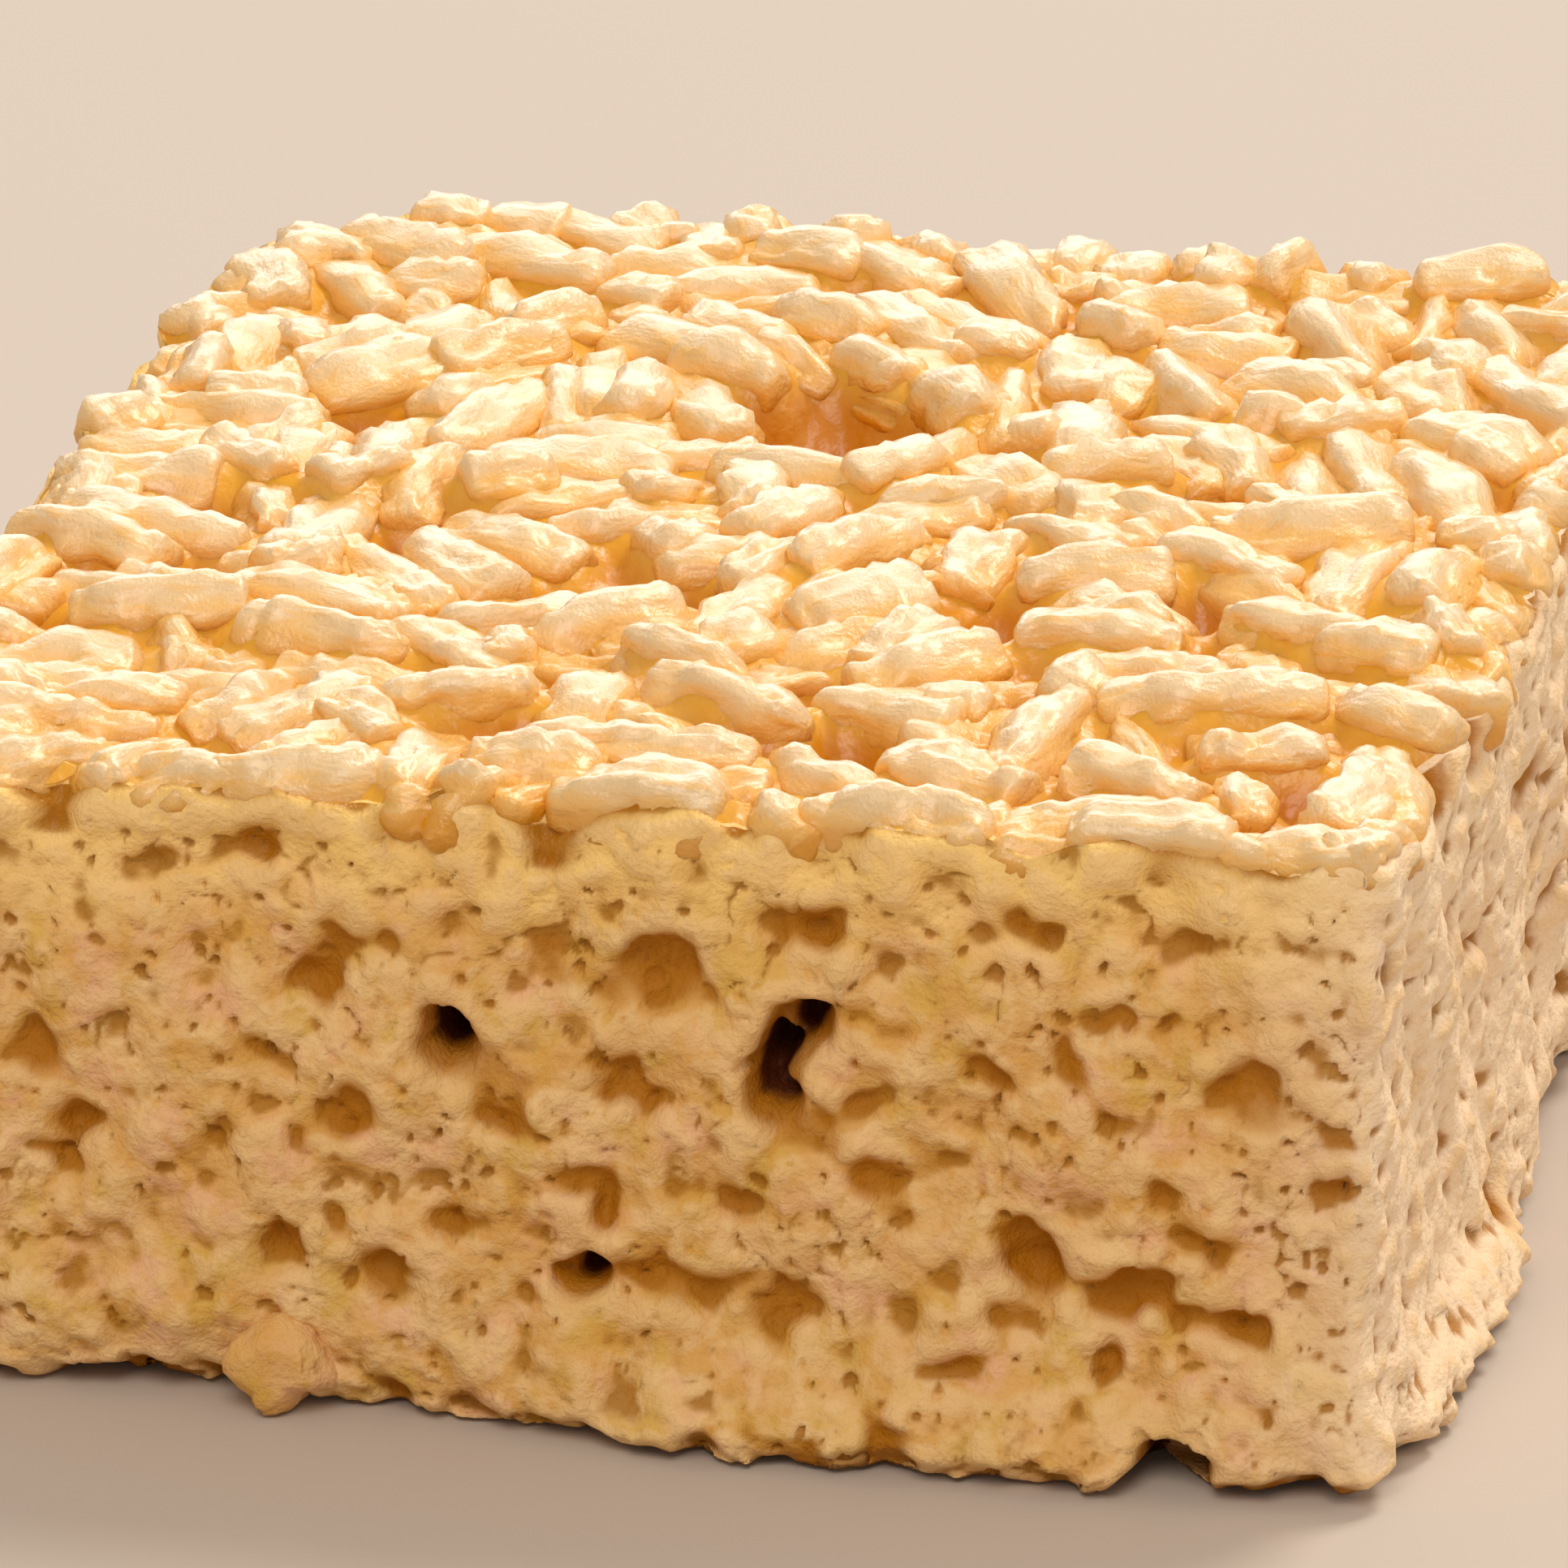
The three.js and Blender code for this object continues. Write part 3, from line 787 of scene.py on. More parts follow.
class TopHeights:
    # heights on a fine grid: the crests of the grains, and the bed that wets up between them
    step = 0.2

    def __init__(self, look, points):
        self.x = np.arange(-27, 27.01, self.step)
        self.y = np.arange(-29, 29.01, self.step)
        low = self.lowerLayer()
        highest = np.maximum(low, self.highestOf(points))
        self.envelope = blurred(swollen(highest, look["crestCells"]), look["crestCells"])
        wetted = blurred(highest, look["wetting"] / self.step) - look["sink"]
        self.bed = blurred(np.maximum(wetted, low - look["lowerSink"]), look["softness"])

    def highestOf(self, points):
        # the highest of the points that land in each cell, with the cells between them closed
        i = np.rint((points[:, 0] - self.x[0]) / self.step).astype(int)
        j = np.rint((points[:, 1] - self.y[0]) / self.step).astype(int)
        cells = np.full((len(self.x), len(self.y)), -9.0)
        np.maximum.at(cells, (i, j), points[:, 2])
        return swollen(cells, 1)

    def stamp(self, heights, grain):
        # z + slope u + r sqrt(1 - (u / half length)^2 - (v / r)^2) over the grain's own window
        reach = 0.55 * grain["length"]
        i0, i1 = np.searchsorted(self.x, [grain["x"] - reach, grain["x"] + reach])
        j0, j1 = np.searchsorted(self.y, [grain["y"] - reach, grain["y"] + reach])
        dx = self.x[i0:i1, None] - grain["x"]
        dy = self.y[None, j0:j1] - grain["y"]
        u = dx * math.cos(grain["heading"]) + dy * math.sin(grain["heading"])
        v = dy * math.cos(grain["heading"]) - dx * math.sin(grain["heading"])
        rest = 1 - (2 * u / grain["length"]) ** 4 - (v / grain["radius"]) ** 2
        top = grain["z"] + grain["slope"] * u + grain["radius"] * np.sqrt(np.maximum(rest, 0))
        window = heights[i0:i1, j0:j1]
        window[rest > 0] = np.maximum(window, top)[rest > 0]

    def lowerLayer(self):
        # grains of the layer beneath, half sunk, and the hollows pressed into them
        rule = lowerGrains
        rng = np.random.default_rng(rule["seed"])
        gridX, gridY = np.meshgrid(self.x, self.y, indexing="ij")
        heights = np.full(gridX.shape, block["bedLevel"] - rule["massDrop"])
        for cx in np.arange(-25.5, 26, rule["spacing"]):
            for cy in np.arange(-27.5, 28, rule["spacing"]):
                shift = rng.uniform(-1, 1, 2) * rule["jitter"] * rule["spacing"]
                radius = rng.uniform(*rule["radii"])
                grain = dict(
                    x=cx + shift[0],
                    y=cy + shift[1],
                    z=block["bedLevel"] - rule["sunk"] - rng.uniform(*rule["sunkMore"]),
                    heading=rng.uniform(0, math.pi),
                    slope=rng.uniform(*rule["slopes"]),
                    length=rng.uniform(*rule["lengths"]),
                    radius=radius,
                )
                self.stamp(heights, grain)
        wobble = layeredNoise(np.stack([gridX, gridY, 0 * gridX], axis=-1), rule["hollowDent"])
        for cx, cy, rx, ry, floor in topHollows:
            e = ((gridX - cx) / rx) ** 2 + ((gridY - cy) / ry) ** 2 + wobble
            depth = block["bedLevel"] - rule["hollowDrop"] - floor
            heights = heights - depth * np.sqrt(np.maximum(1 - e, 0))
        return heights

    def sample(self, heights, x, y):
        # bilinear look-up
        fx = np.clip((x - self.x[0]) / self.step, 0, len(self.x) - 1.001)
        fy = np.clip((y - self.y[0]) / self.step, 0, len(self.y) - 1.001)
        i = fx.astype(int)
        j = fy.astype(int)
        u = fx - i
        v = fy - j
        low = heights[i, j] * (1 - u) + heights[i + 1, j] * u
        high = heights[i, j + 1] * (1 - u) + heights[i + 1, j + 1] * u
        return low * (1 - v) + high * v


bedLook = {
    "wetting": 0.42,  # how softly the marshmallow climbs the grains
    "sink": 0.5,
    "softness": 0.8,  # in cells, like the next one
    "crestCells": 4,  # how far around a point its highest crest is looked for
    "crestBand": 0.15,  # a point this little under the crests is still on one
    "creviceDepth": 1.7,
    "lowerSink": 0.3,
    "ripple": ((1.0, 0.14, 52), (0.45, 0.07, 53)),
    "edgeSink": 0.3,
    "step": 0.26,
    "edgeInset": 3.2,  # how far inside the plan the bed's own rim is hidden
    "underLevel": 16.8,
}


def bedHeight(heights, x, y):
    # the wetted height with a ripple at two sizes
    points = np.stack([x, y, 0 * x], axis=-1)
    return heights.sample(heights.bed, x, y) + layeredNoise(points, bedLook["ripple"])


def crevice(heights, x, y, z):
    # 0 on the crests and 1 down in the gaps, from how far a point lies under the crests around it
    under = heights.sample(heights.envelope, x, y) - bedLook["crestBand"] - z
    return np.clip(under / bedLook["creviceDepth"], 0, 1)


underLook = {
    "castFrom": 0.25,
    "deepest": 0.9,
    "lift": 0.01,
    "bumps": (1.3, 54),  # size and seed
    "bumpHeight": 0.05,
    "overlap": 0.5,  # how far it runs on beneath the lower lips of the sides
    "step": 0.38,
    "edgeLift": 0.3,
    "farLevel": 2.2,
}


class UnderField(TopHeights):
    # the relief of the face that the treat rests on, by rays cast upwards
    step = 0.3

    def __init__(self, grains):
        self.x = np.arange(-27, 27.01, self.step)
        self.y = np.arange(-29, 29.01, self.step)
        gridX, gridY = np.meshgrid(self.x, self.y, indexing="ij")
        points = np.stack([gridX, gridY, np.full(gridX.shape, underLook["castFrom"])], axis=-1)
        directions = np.broadcast_to(np.array([0, 0, 1.0]), points.shape)
        fallen, film, tone = cutDepth(points, directions, 0 * gridX, 0 * gridX, grains)
        bumps = underLook["bumpHeight"] * (1 + latticeNoise(points, *underLook["bumps"]))
        self.relief = underLook["lift"] + np.minimum(fallen, underLook["deepest"]) + bumps
        self.film = film
        self.tone = tone

    def height(self, x, y):
        return self.sample(self.relief, x, y)


def crumbling(points):
    # bites out of the foot and small knobs on it: noise that fades from the floor up
    bites = np.maximum(layeredNoise(points, cut["bites"]), cut["knobs"])
    return bites * smoothStep(*cut["biteLevels"], points[..., 2])


rimRule = {
    "level": 1.2,  # above the top of the solid mass
    "inwards": 0.7,
    "softness": 0.22,
    "average": 2.5,  # how widely the rim is averaged to find its narrow peaks
    "peaks": 0.25,  # how far these may stand above the average
}


def rimHeights(plan, outward, heights, step):
    # the height of the bed a little way in from the cut, without its narrow peaks
    x, y = drawnIn(plan[:, 0], plan[:, 1], block["bedLevel"] + rimRule["level"])
    inwards = rimRule["inwards"]
    rim = heights.sample(heights.bed, x - inwards * outward[:, 0], y - inwards * outward[:, 1])
    rim = blurred(rim[None], rimRule["softness"] / step)[0]
    return np.minimum(rim, blurred(rim[None], rimRule["average"] / step)[0] + rimRule["peaks"])


drape = {
    "levels": (18.7, 19.7),  # above these the face runs up to the flanks of the grains on top
    "climb": (0.1, 0.45),  # how far a flank may turn away before the face leaves it
    "leaveBelowRim": 0.45,
    "offsets": (-0.16, 0.4),  # in front of a flank, and behind it once the face has left it
    "furthestOut": -0.5,
    "recess": (0.12, 1.3),  # how far back the face may fall, and how much further at the rim
    "recessBand": (2.0, 0.1),
    "softness": 1.2,
    "kept": 0.7,  # share of its own depth that the face keeps
    "cover": 0.12,  # how far in front of a grain the face stays
    "coverMost": 0.4,
    "coverBand": (0.1, 0.7),
    "coverUntil": 0.3,
    "coverSoftness": 0.25,
}


def drapeOverGrains(fallen, inside, rim, z):
    # near the top the face hangs down from the widest points of the grains, climbs a little way up their
    # flanks and then lies behind them; in the gaps it falls back to meet the bed
    merge = smoothStep(*drape["levels"], z)
    hung = np.minimum.accumulate(inside[::-1])[::-1]
    widest = np.where(merge > 0, hung, farOff).min(axis=0)
    atRim = smoothStep(rim - drape["leaveBelowRim"], rim, z)
    climbed = np.maximum(smoothStep(*drape["climb"], hung - widest), atRim)
    flank = np.maximum(hung + between(drape["offsets"], climbed), drape["furthestOut"])
    under, over = drape["recessBand"]
    least, more = drape["recess"]
    flank = np.minimum(flank, least + more * smoothStep(rim - under, rim + over, z))
    merged = np.maximum(blurred(flank, drape["softness"]), drape["kept"] * fallen)
    return fallen + (merged - fallen) * merge, climbed


def coverGrains(raised, inside, climbed, rim, z, step):
    # where a grain lies close behind the face, the face swells softly to stay in front of it
    missing = np.clip(drape["cover"] - inside - raised, 0, drape["coverMost"])
    missing = missing * smoothStep(*drape["coverBand"], rim - z)
    missing = np.where(climbed < drape["coverUntil"], missing, 0)
    return raised + blurred(swollen(missing, 2), drape["coverSoftness"] / step)


def lipRows(start, plan, look):
    # straight walks inwards from one end of the cut face, with each step's share of the way
    shares = np.linspace(0, 1, look["steps"] + 1)[1:, None]
    endX = plan[:, 0] * (1 - 2 * look["reach"] / block["width"])
    endY = plan[:, 1] * (1 - 2 * look["reach"] / block["depth"])
    return start[:, 0] * (1 - shares) + endX * shares, start[:, 1] * (1 - shares) + endY * shares, shares


def makeSide(side, heights, under, grains, grainPoints, materials):
    # rows from under the block, up its side and in over the top, then down a hidden inner wall
    step, rows = cut["grids"][side["name"]]
    plan, outward, walk, tucked = sideOutline(side, step)
    columns = len(plan)
    rim = rimHeights(plan, outward, heights, step)
    z = np.linspace(0, 1, rows)[:, None] * rim
    x, y = drawnIn(plan[:, 0] + 0 * z, plan[:, 1] + 0 * z, z)
    base = np.stack([x, y, z], axis=-1)
    normals = np.concatenate([outward, np.zeros((columns, 1))], axis=1) + 0 * base
    dent = wander(base, *cut["hollowDent"])
    along = base[..., :2] @ np.abs(np.array(side["tangent"], float))
    limit, core = hollowLimit(side, along + dent[..., 0], z + dent[..., 1])
    fallen, film, tone = cutDepth(base, -normals, limit, core, clearHollows(grains, side))
    softened = (blurred(fallen, cut["softness"] / step), blurred(fallen, cut["deepSoftness"]))
    fallen = between(softened, smoothStep(*cut["deepLimits"], limit))
    inside = grainsInside(side, grainPoints, walk, rim, rows)
    fallen, climbed = drapeOverGrains(fallen, inside, rim, z)
    relief = surfaceRelief(base) * between(cut["rimRelief"], smoothStep(*cut["rimBand"], rim - z))
    raised = relief - crumbling(base) - blurred(fallen, cut["lastSoftness"]) - cut["tuck"] * tucked
    raised = coverGrains(raised, inside, climbed, rim, z, step)
    outer = base + normals * raised[..., None]
    outer[0, :, 2] = under.height(outer[0, :, 0], outer[0, :, 1])
    # painted shade and light: pit is how far a point lies below its surroundings (shaded) or above them
    # (lit)
    pit = (blurred(raised, cut["pitReach"] / step) - raised) / cut["pitDepth"]

    # the lower lip follows the underside and the upper one the bed between the grains
    look = cut["bottomLip"]
    lipX, lipY, shares = lipRows(outer[0], plan, look)
    lipZ = under.height(lipX, lipY) + look["lift"] + look["lastStep"] * (shares == 1)
    bottom = np.stack([lipX, lipY, lipZ], axis=-1)
    look = cut["topLip"]
    lipX, lipY, shares = lipRows(outer[-1], plan, look)
    lipZ = bedHeight(heights, lipX, lipY)
    lipZ = lipZ + (outer[-1, :, 2] - lipZ[0]) * (1 - shares) ** cut["lipFade"]
    lipZ = lipZ + look["lift"] + look["lastStep"] * (shares == 1)
    top = np.stack([lipX, lipY, lipZ], axis=-1)
    inner = plan * cut["wall"]
    wall = [np.column_stack([inner, 0 * rim + level]) for level in cut["wallLevels"]]
    points = np.concatenate([bottom[::-1], outer, top, wall])
    allRows = len(points)

    def spread(field, before, after):
        # a field of the face, with one value for the lower lip and one for all that follows the face
        below = np.full((len(bottom), columns), before)
        above = np.full((len(top) + len(wall), columns), after)
        return np.concatenate([below, field, above])

    # painted light: the cut is painted paler towards the right end, and most on the right side, where the
    # lamps light it
    paintedRightLight = between(cut["paintedRightLightShares"], np.clip(outward[:, 0], 0, 1))
    index = np.arange(allRows * columns).reshape(allRows, columns)
    closing = np.stack([index[-1, :-1], index[-1, 1:], index[0, 1:], index[0, :-1]], axis=-1)
    caps = [index[:, -1][None], index[::-1, 0][None]]
    attributes = {
        # amber in the hollows is partly marshmallow and partly painted shade, and the deepest get painted
        # shade
        "hollowGlazeAndShade": spread(np.clip(fallen / cut["hollowShadeDepth"], 0, 1), 0.1, 0),
        "film": spread(film, 0.3, 0.5),
        "tone": spread(tone, 0, 0),
        "pit": spread(np.clip(pit, -1, 1), 0, 0),
        "paintedRightLight": paintedRightLight * smoothStep(*cut["paintedRightLightFrom"], points[..., 0]),
        "nearTop": spread(smoothStep(*cut["nearTop"], rim - z), 0, 1),
        "crevice": crevice(heights, points[..., 0], points[..., 1], points[..., 2]),
    }
    rimRow = len(bottom) + rows - 1
    onLip = np.repeat(np.arange(allRows - 1) >= rimRow + cut["crumbSteps"], columns - 1)
    materialOf = np.concatenate([onLip, np.ones(columns - 1, bool), np.zeros(2, bool)])
    faceSets = [gridQuads(allRows, columns), closing, *caps]
    return makeMesh(side["name"], points.reshape(-1, 3), faceSets, attributes, materials, materialOf)


def planRows(inset, step):
    # rows of the plan drawn in by an inset, from front to back; the worn corner bends their left ends
    halfX = block["width"] / 2 - inset
    halfY = block["depth"] / 2 - inset
    radius = block["wornCorner"] - inset
    y = np.linspace(-halfY, halfY, int(2 * halfY / step))
    into = np.maximum(y - (halfY - radius), 0)
    left = -halfX + radius - np.sqrt(np.maximum(radius**2 - into**2, 0))
    share = np.linspace(0, 1, int(2 * halfX / step))
    x = left[:, None] + (halfX - left[:, None]) * share
    return x, y[:, None] + 0 * x


def edgeLoop(rows, columns):
    # numbers of a grid's outer points, running round it the way its quads face
    index = np.arange(rows * columns).reshape(rows, columns)
    return np.concatenate([index[0, :-1], index[:-1, -1], index[-1, :0:-1], index[:0:-1, 0]])


def makeSlab(name, x, y, z, farLevel, faceUp, attributes, materials):
    # a grid of heights closed by a wall round its edge and one flat face at the far level
    rows, columns = x.shape
    points = np.stack([x, y, z], axis=-1).reshape(-1, 3)
    loop = edgeLoop(rows, columns)
    far = points[loop].copy()
    far[:, 2] = farLevel
    low = len(points) + np.arange(len(loop))
    wall = np.stack([loop, low, np.roll(low, -1), np.roll(loop, -1)], axis=-1)
    faceSets = [gridQuads(rows, columns), wall, low[::-1][None]]
    if not faceUp:
        faceSets = [faces[:, ::-1] for faces in faceSets]
    padded = {key: np.concatenate([field.ravel(), np.ones(len(loop))]) for key, field in attributes.items()}
    return makeMesh(name, np.concatenate([points, far]), faceSets, padded, materials)


def makeBed(heights, materials):
    x, y = planRows(bedLook["edgeInset"], bedLook["step"])
    z = bedHeight(heights, x, y)
    rows, columns = x.shape
    fromEdge = np.minimum(np.arange(rows), np.arange(rows)[::-1])[:, None]
    fromEdge = np.minimum(fromEdge, np.minimum(np.arange(columns), np.arange(columns)[::-1])[None])
    z = z - bedLook["edgeSink"] * (fromEdge == 0)
    attributes = {"crevice": crevice(heights, x, y, z)}
    return makeSlab("bed", x, y, z, bedLook["underLevel"], True, attributes, materials)


def makeUnderside(under, materials):
    x, y = planRows(cut["bottomLip"]["reach"] - underLook["overlap"], underLook["step"])
    z = under.height(x, y)
    for edge in (z[0], z[-1], z[:, 0], z[:, -1]):
        edge += underLook["edgeLift"]
    attributes = {key: 0 * x for key in ("pit", "paintedRightLight", "nearTop", "crevice")}
    # painted shade: the underside more amber and darker where it lies higher off the floor
    attributes["hollowGlazeAndShade"] = np.clip((z - 0.1) / 2, 0, 1)
    attributes["film"] = under.sample(under.film, x, y)
    attributes["tone"] = under.sample(under.tone, x, y)
    return makeSlab("underside", x, y, z, underLook["farLevel"], False, attributes, materials)


grainShape = {
    "fullness": (0.2, 0.44),  # the lower, the blunter the ends
    "shortening": (0.74, 0.95),  # share of the laid length
    "boxiness": (2.4, 4.4),
    "flatness": (0.8, 1.0),
    "taper": 0.22,
    "bend": 0.4,
    "thickness": 0.98,  # share of the laid radius
    "tipGather": 0.12,  # how much closer together the rings lie at the tips
    "twist": (-0.6, 0.6),
    "roll": (-0.7, 0.7),
    "ridges": (2, 5),
    "ridgeHeight": (0.03, 0.1),
    "creaseDepth": (0.1, 0.34),
    "creaseWidth": (0.18, 0.36),
    "lumps": ((2.6, 0.24, 71), (1.1, 0.22, 72), (0.5, 0.15, 73)),
    "wrinkles": (0.8, 0.36, 0.26, 0.12),  # size, share of it lengthways, depth, width
}


def shapeGrains(grains, grid, seed):
    # long axis t = -cos p, section radius r sin(p)^fullness (1 + taper t) on a boxy outline
    # (|cos q|^n + |sin q|^n)^(-1/n), with ridges cos(n q), one crease, lumps of noise, wrinkles where a
    # drawn-out noise is near zero, and a bend b (t^2 - 0.4); all grains at once as (grain, p, q) arrays
    look = grainShape
    rng = np.random.default_rng(seed)
    table = {key: value[:, None, None] for key, value in grainTable(grains).items()}
    count = len(grains)
    rows, columns = grid

    def vary(low, high):
        return rng.uniform(low, high, (count, 1, 1))

    p = np.linspace(0, math.pi, rows)[None, :, None]
    p = p - look["tipGather"] * np.sin(2 * p)
    q = (np.arange(columns) * 2 * math.pi / columns)[None, None, :]
    t = -np.cos(p)
    section = np.maximum(np.sin(p), 0) ** vary(*look["fullness"])
    section = section * (1 + vary(-1, 1) * look["taper"] * t)
    boxiness = vary(*look["boxiness"])
    outline = np.abs(np.cos(q)) ** boxiness + np.abs(np.sin(q)) ** boxiness
    section = look["thickness"] * section * outline ** (-1 / boxiness)
    ridges = np.round(vary(*look["ridges"]))
    turn = q + vary(*look["twist"]) * t
    section = section * (1 + vary(*look["ridgeHeight"]) * np.cos(ridges * turn + vary(0, 6.28)))
    fromCrease = np.angle(np.exp(1j * (turn - vary(0, 6.28)))) / vary(*look["creaseWidth"])
    crease = vary(*look["creaseDepth"]) * np.exp(-(fromCrease**2)) * np.maximum(1 - t * t, 0) ** 0.5
    section = section * (1 - crease)
    wide = table["radius"] * section * np.cos(q)
    high = table["radius"] * section * np.sin(q) * vary(*look["flatness"])
    roll = vary(*look["roll"])
    across = wide * np.cos(roll) - high * np.sin(roll) + vary(-1, 1) * look["bend"] * (t * t - 0.4)
    upward = wide * np.sin(roll) + high * np.cos(roll) + 0.3 * vary(-1, 1) * look["bend"] * (t * t - 0.4)
    along = 0.5 * vary(*look["shortening"]) * table["length"] * t + 0 * across
    # painted light: how high a point stands on its grain, which pales the top of each grain as if lit
    paintedCrownLight = upward / table["radius"]
    shaped = np.stack([along, across, upward], axis=-1)
    offset = vary(0, 400)[..., None] + np.arange(3) * 31.7
    swell = layeredNoise(shaped + offset, look["lumps"])
    size, lengthways, depth, width = look["wrinkles"]
    lengthwise = shaped * np.array([lengthways, 1, 1]) + offset
    drawnOut = latticeNoise(lengthwise, size, 74)
    swell = swell - depth * np.exp(-((drawnOut / width) ** 2)) * np.sin(p) ** 0.5
    shaped[..., 1] += swell * np.cos(q)
    shaped[..., 2] += swell * np.sin(q)
    shaped[..., 0] += 0.8 * np.mean(swell, axis=2, keepdims=True) * t
    lean = np.arctan(table["slope"])
    ahead = shaped[..., 0] * np.cos(lean) - shaped[..., 2] * np.sin(lean)
    z = table["z"] + shaped[..., 0] * np.sin(lean) + shaped[..., 2] * np.cos(lean)
    x = table["x"] + ahead * np.cos(table["heading"]) - shaped[..., 1] * np.sin(table["heading"])
    y = table["y"] + ahead * np.sin(table["heading"]) + shaped[..., 1] * np.cos(table["heading"])
    points = np.stack([x, y, z], axis=-1)
    points[:, 0] = points[:, 0].mean(axis=1, keepdims=True)
    points[:, -1] = points[:, -1].mean(axis=1, keepdims=True)
    tone = rng.uniform(-1, 1, (count, 1, 1)) + 0 * x
    attributes = {
        "tone": packGrain(tone).ravel(),
        "paintedCrownLight": packGrain(paintedCrownLight).ravel(),
        "lengthwise": packGrain(lengthwise).reshape(-1, 3),
    }
    return packGrain(points).reshape(-1, 3), attributes


def grainFaces(count, rows, columns):
    # a band of quads between the rings and a fan of triangles at each tip, repeated for every grain
    each = (rows - 2) * columns + 2
    ring = np.arange((rows - 2) * columns).reshape(rows - 2, columns) + 1
    onward = np.roll(ring, -1, axis=1)
    quads = np.stack([ring[:-1], onward[:-1], onward[1:], ring[1:]], axis=-1).reshape(-1, 4)
    tail = np.stack([np.zeros(columns, int), onward[0], ring[0]], axis=-1)
    head = np.stack([np.full(columns, each - 1), ring[-1], onward[-1]], axis=-1)
    starts = each * np.arange(count)[:, None, None]
    quads = (quads[None] + starts).reshape(-1, 4)
    fans = (np.concatenate([tail, head])[None] + starts).reshape(-1, 3)
    return [quads[:, ::-1], fans[:, ::-1]]


def packGrain(field):
    # tip, rings and tip of each grain, as flat rows
    tail = field[:, :1, :1].reshape(len(field), 1, -1)
    rings = field[:, 1:-1].reshape(len(field), -1, *field.shape[3:])
    head = field[:, -1:, :1].reshape(len(field), 1, -1)
    if field.ndim == 3:
        tail = tail[..., 0]
        head = head[..., 0]
    return np.concatenate([tail, rings, head], axis=1)


def makeGrains(name, points, attributes, grid, heights, materials):
    rows, columns = grid
    count = len(points) // ((rows - 2) * columns + 2)
    attributes["crevice"] = crevice(heights, points[:, 0], points[:, 1], points[:, 2])
    return makeMesh(name, points, grainFaces(count, rows, columns), attributes, materials)


# bands of the top from front to back, with the rings and sides that their grains are given
grainBands = [
    {"name": "topGrainsFront", "from": -99, "to": -14.5, "grid": (40, 32), "seed": 5},
    {"name": "topGrainsMiddle", "from": -14.5, "to": 2, "grid": (30, 25), "seed": 6},
    {"name": "topGrainsBack", "from": 2, "to": 99, "grid": (22, 18), "seed": 8},
]

seatedGrain = dict(x=-10.8, y=-25.3, z=1.55, heading=math.pi / 2, slope=0.0, length=6.0, radius=1.6)


def makeFootGrain(materials):
    grid = grainBands[0]["grid"]
    points, attributes = shapeGrains([seatedGrain], grid, 14)
    points[:, 2] = np.maximum(points[:, 2], 0.02)
    attributes["film"] = np.full(len(points), 0.3)
    return makeMesh("footGrain", points, grainFaces(1, *grid), attributes, materials)


def linear(red, green, blue):
    # a screen colour of 0..255 as linear light
    shares = np.array([red, green, blue]) / 255
    return (*np.where(shares < 0.04045, shares / 12.92, ((shares + 0.055) / 1.055) ** 2.4), 1.0)


class Nodes:
    # short hands for wiring a node tree
    def __init__(self, tree):
        self.tree = tree

    def add(self, kind, inputs={}, **settings):
        node = self.tree.nodes.new(kind)
        for key, value in settings.items():
            setattr(node, key, value)
        for key, value in inputs.items():
            if isinstance(value, bpy.types.NodeSocket):
                self.tree.links.new(value, node.inputs[key])
            else:
                node.inputs[key].default_value = value
        return node

    def attribute(self, name):
        return self.add("ShaderNodeAttribute", attribute_name=name).outputs["Fac"]

    def math(self, operation, a, b=0.5, clamp=False):
        return self.add("ShaderNodeMath", {0: a, 1: b}, operation=operation, use_clamp=clamp).outputs[0]

    def span(self, value, low, high, toLow=0.0, toHigh=1.0):
        inputs = {"Value": value, "From Min": low, "From Max": high, "To Min": toLow, "To Max": toHigh}
        return self.add("ShaderNodeMapRange", inputs, interpolation_type="SMOOTHSTEP").outputs[0]

    def mix(self, share, first, second, blend="MIX"):
        inputs = {"Factor": share, 6: first, 7: second}
        node = self.add("ShaderNodeMix", inputs, data_type="RGBA", blend_type=blend)
        return node.outputs[2]


# the noises of the shared mottle: share of its scale, detail, and shift of the place they are taken at
mottleNoises = {
    "Patches": (1.0, 3.0, (0, 0, 0)),
    "Flecks": (3.7, 2.0, (0, 0, 0)),
    "Grit": (11.0, 2.0, (0, 0, 0)),
    "Hue": (1.1, 2.0, (0.37, 0.11, 0.83)),
}


def makeMottleGroup():
    # shared effect: soft patches, flecks, a fine grit and drifts of hue, from the object's own coordinates
    group = bpy.data.node_groups.new("mottle", "ShaderNodeTree")
    group.interface.new_socket("Patch size", in_out="INPUT", socket_type="NodeSocketFloat")
    for name in mottleNoises:
        group.interface.new_socket(name, in_out="OUTPUT", socket_type="NodeSocketFloat")
    nodes = Nodes(group)
    entry = group.nodes.new("NodeGroupInput")
    leave = group.nodes.new("NodeGroupOutput")
    place = nodes.add("ShaderNodeTexCoord").outputs["Object"]
    scale = nodes.math("DIVIDE", 1.0, entry.outputs["Patch size"])
    for name, (share, detail, shift) in mottleNoises.items():
        shifted = nodes.add("ShaderNodeVectorMath", {0: place, 1: shift}, operation="ADD").outputs[0]
        inputs = {"Vector": shifted, "Scale": nodes.math("MULTIPLY", scale, share), "Detail": detail}
        noise = nodes.add("ShaderNodeTexNoise", inputs)
        group.links.new(noise.outputs[0], leave.inputs[name])
    return group


def startMaterial(name, shader):
    material = bpy.data.materials.new(name)
    material.use_nodes = True
    tree = material.node_tree
    principled = tree.nodes["Principled BSDF"]
    principled.subsurface_method = "BURLEY"
    for key, value in shader.items():
        principled.inputs[key].default_value = value
    return material, Nodes(tree), principled


def finishMaterial(nodes, principled, colour, height, look):
    # joins a colour and a bump to the shader
    strength, distance = look["bump"]
    bump = nodes.add("ShaderNodeBump", {"Height": height, "Strength": strength, "Distance": distance})
    nodes.tree.links.new(colour, principled.inputs["Base Color"])
    nodes.tree.links.new(bump.outputs[0], principled.inputs["Normal"])


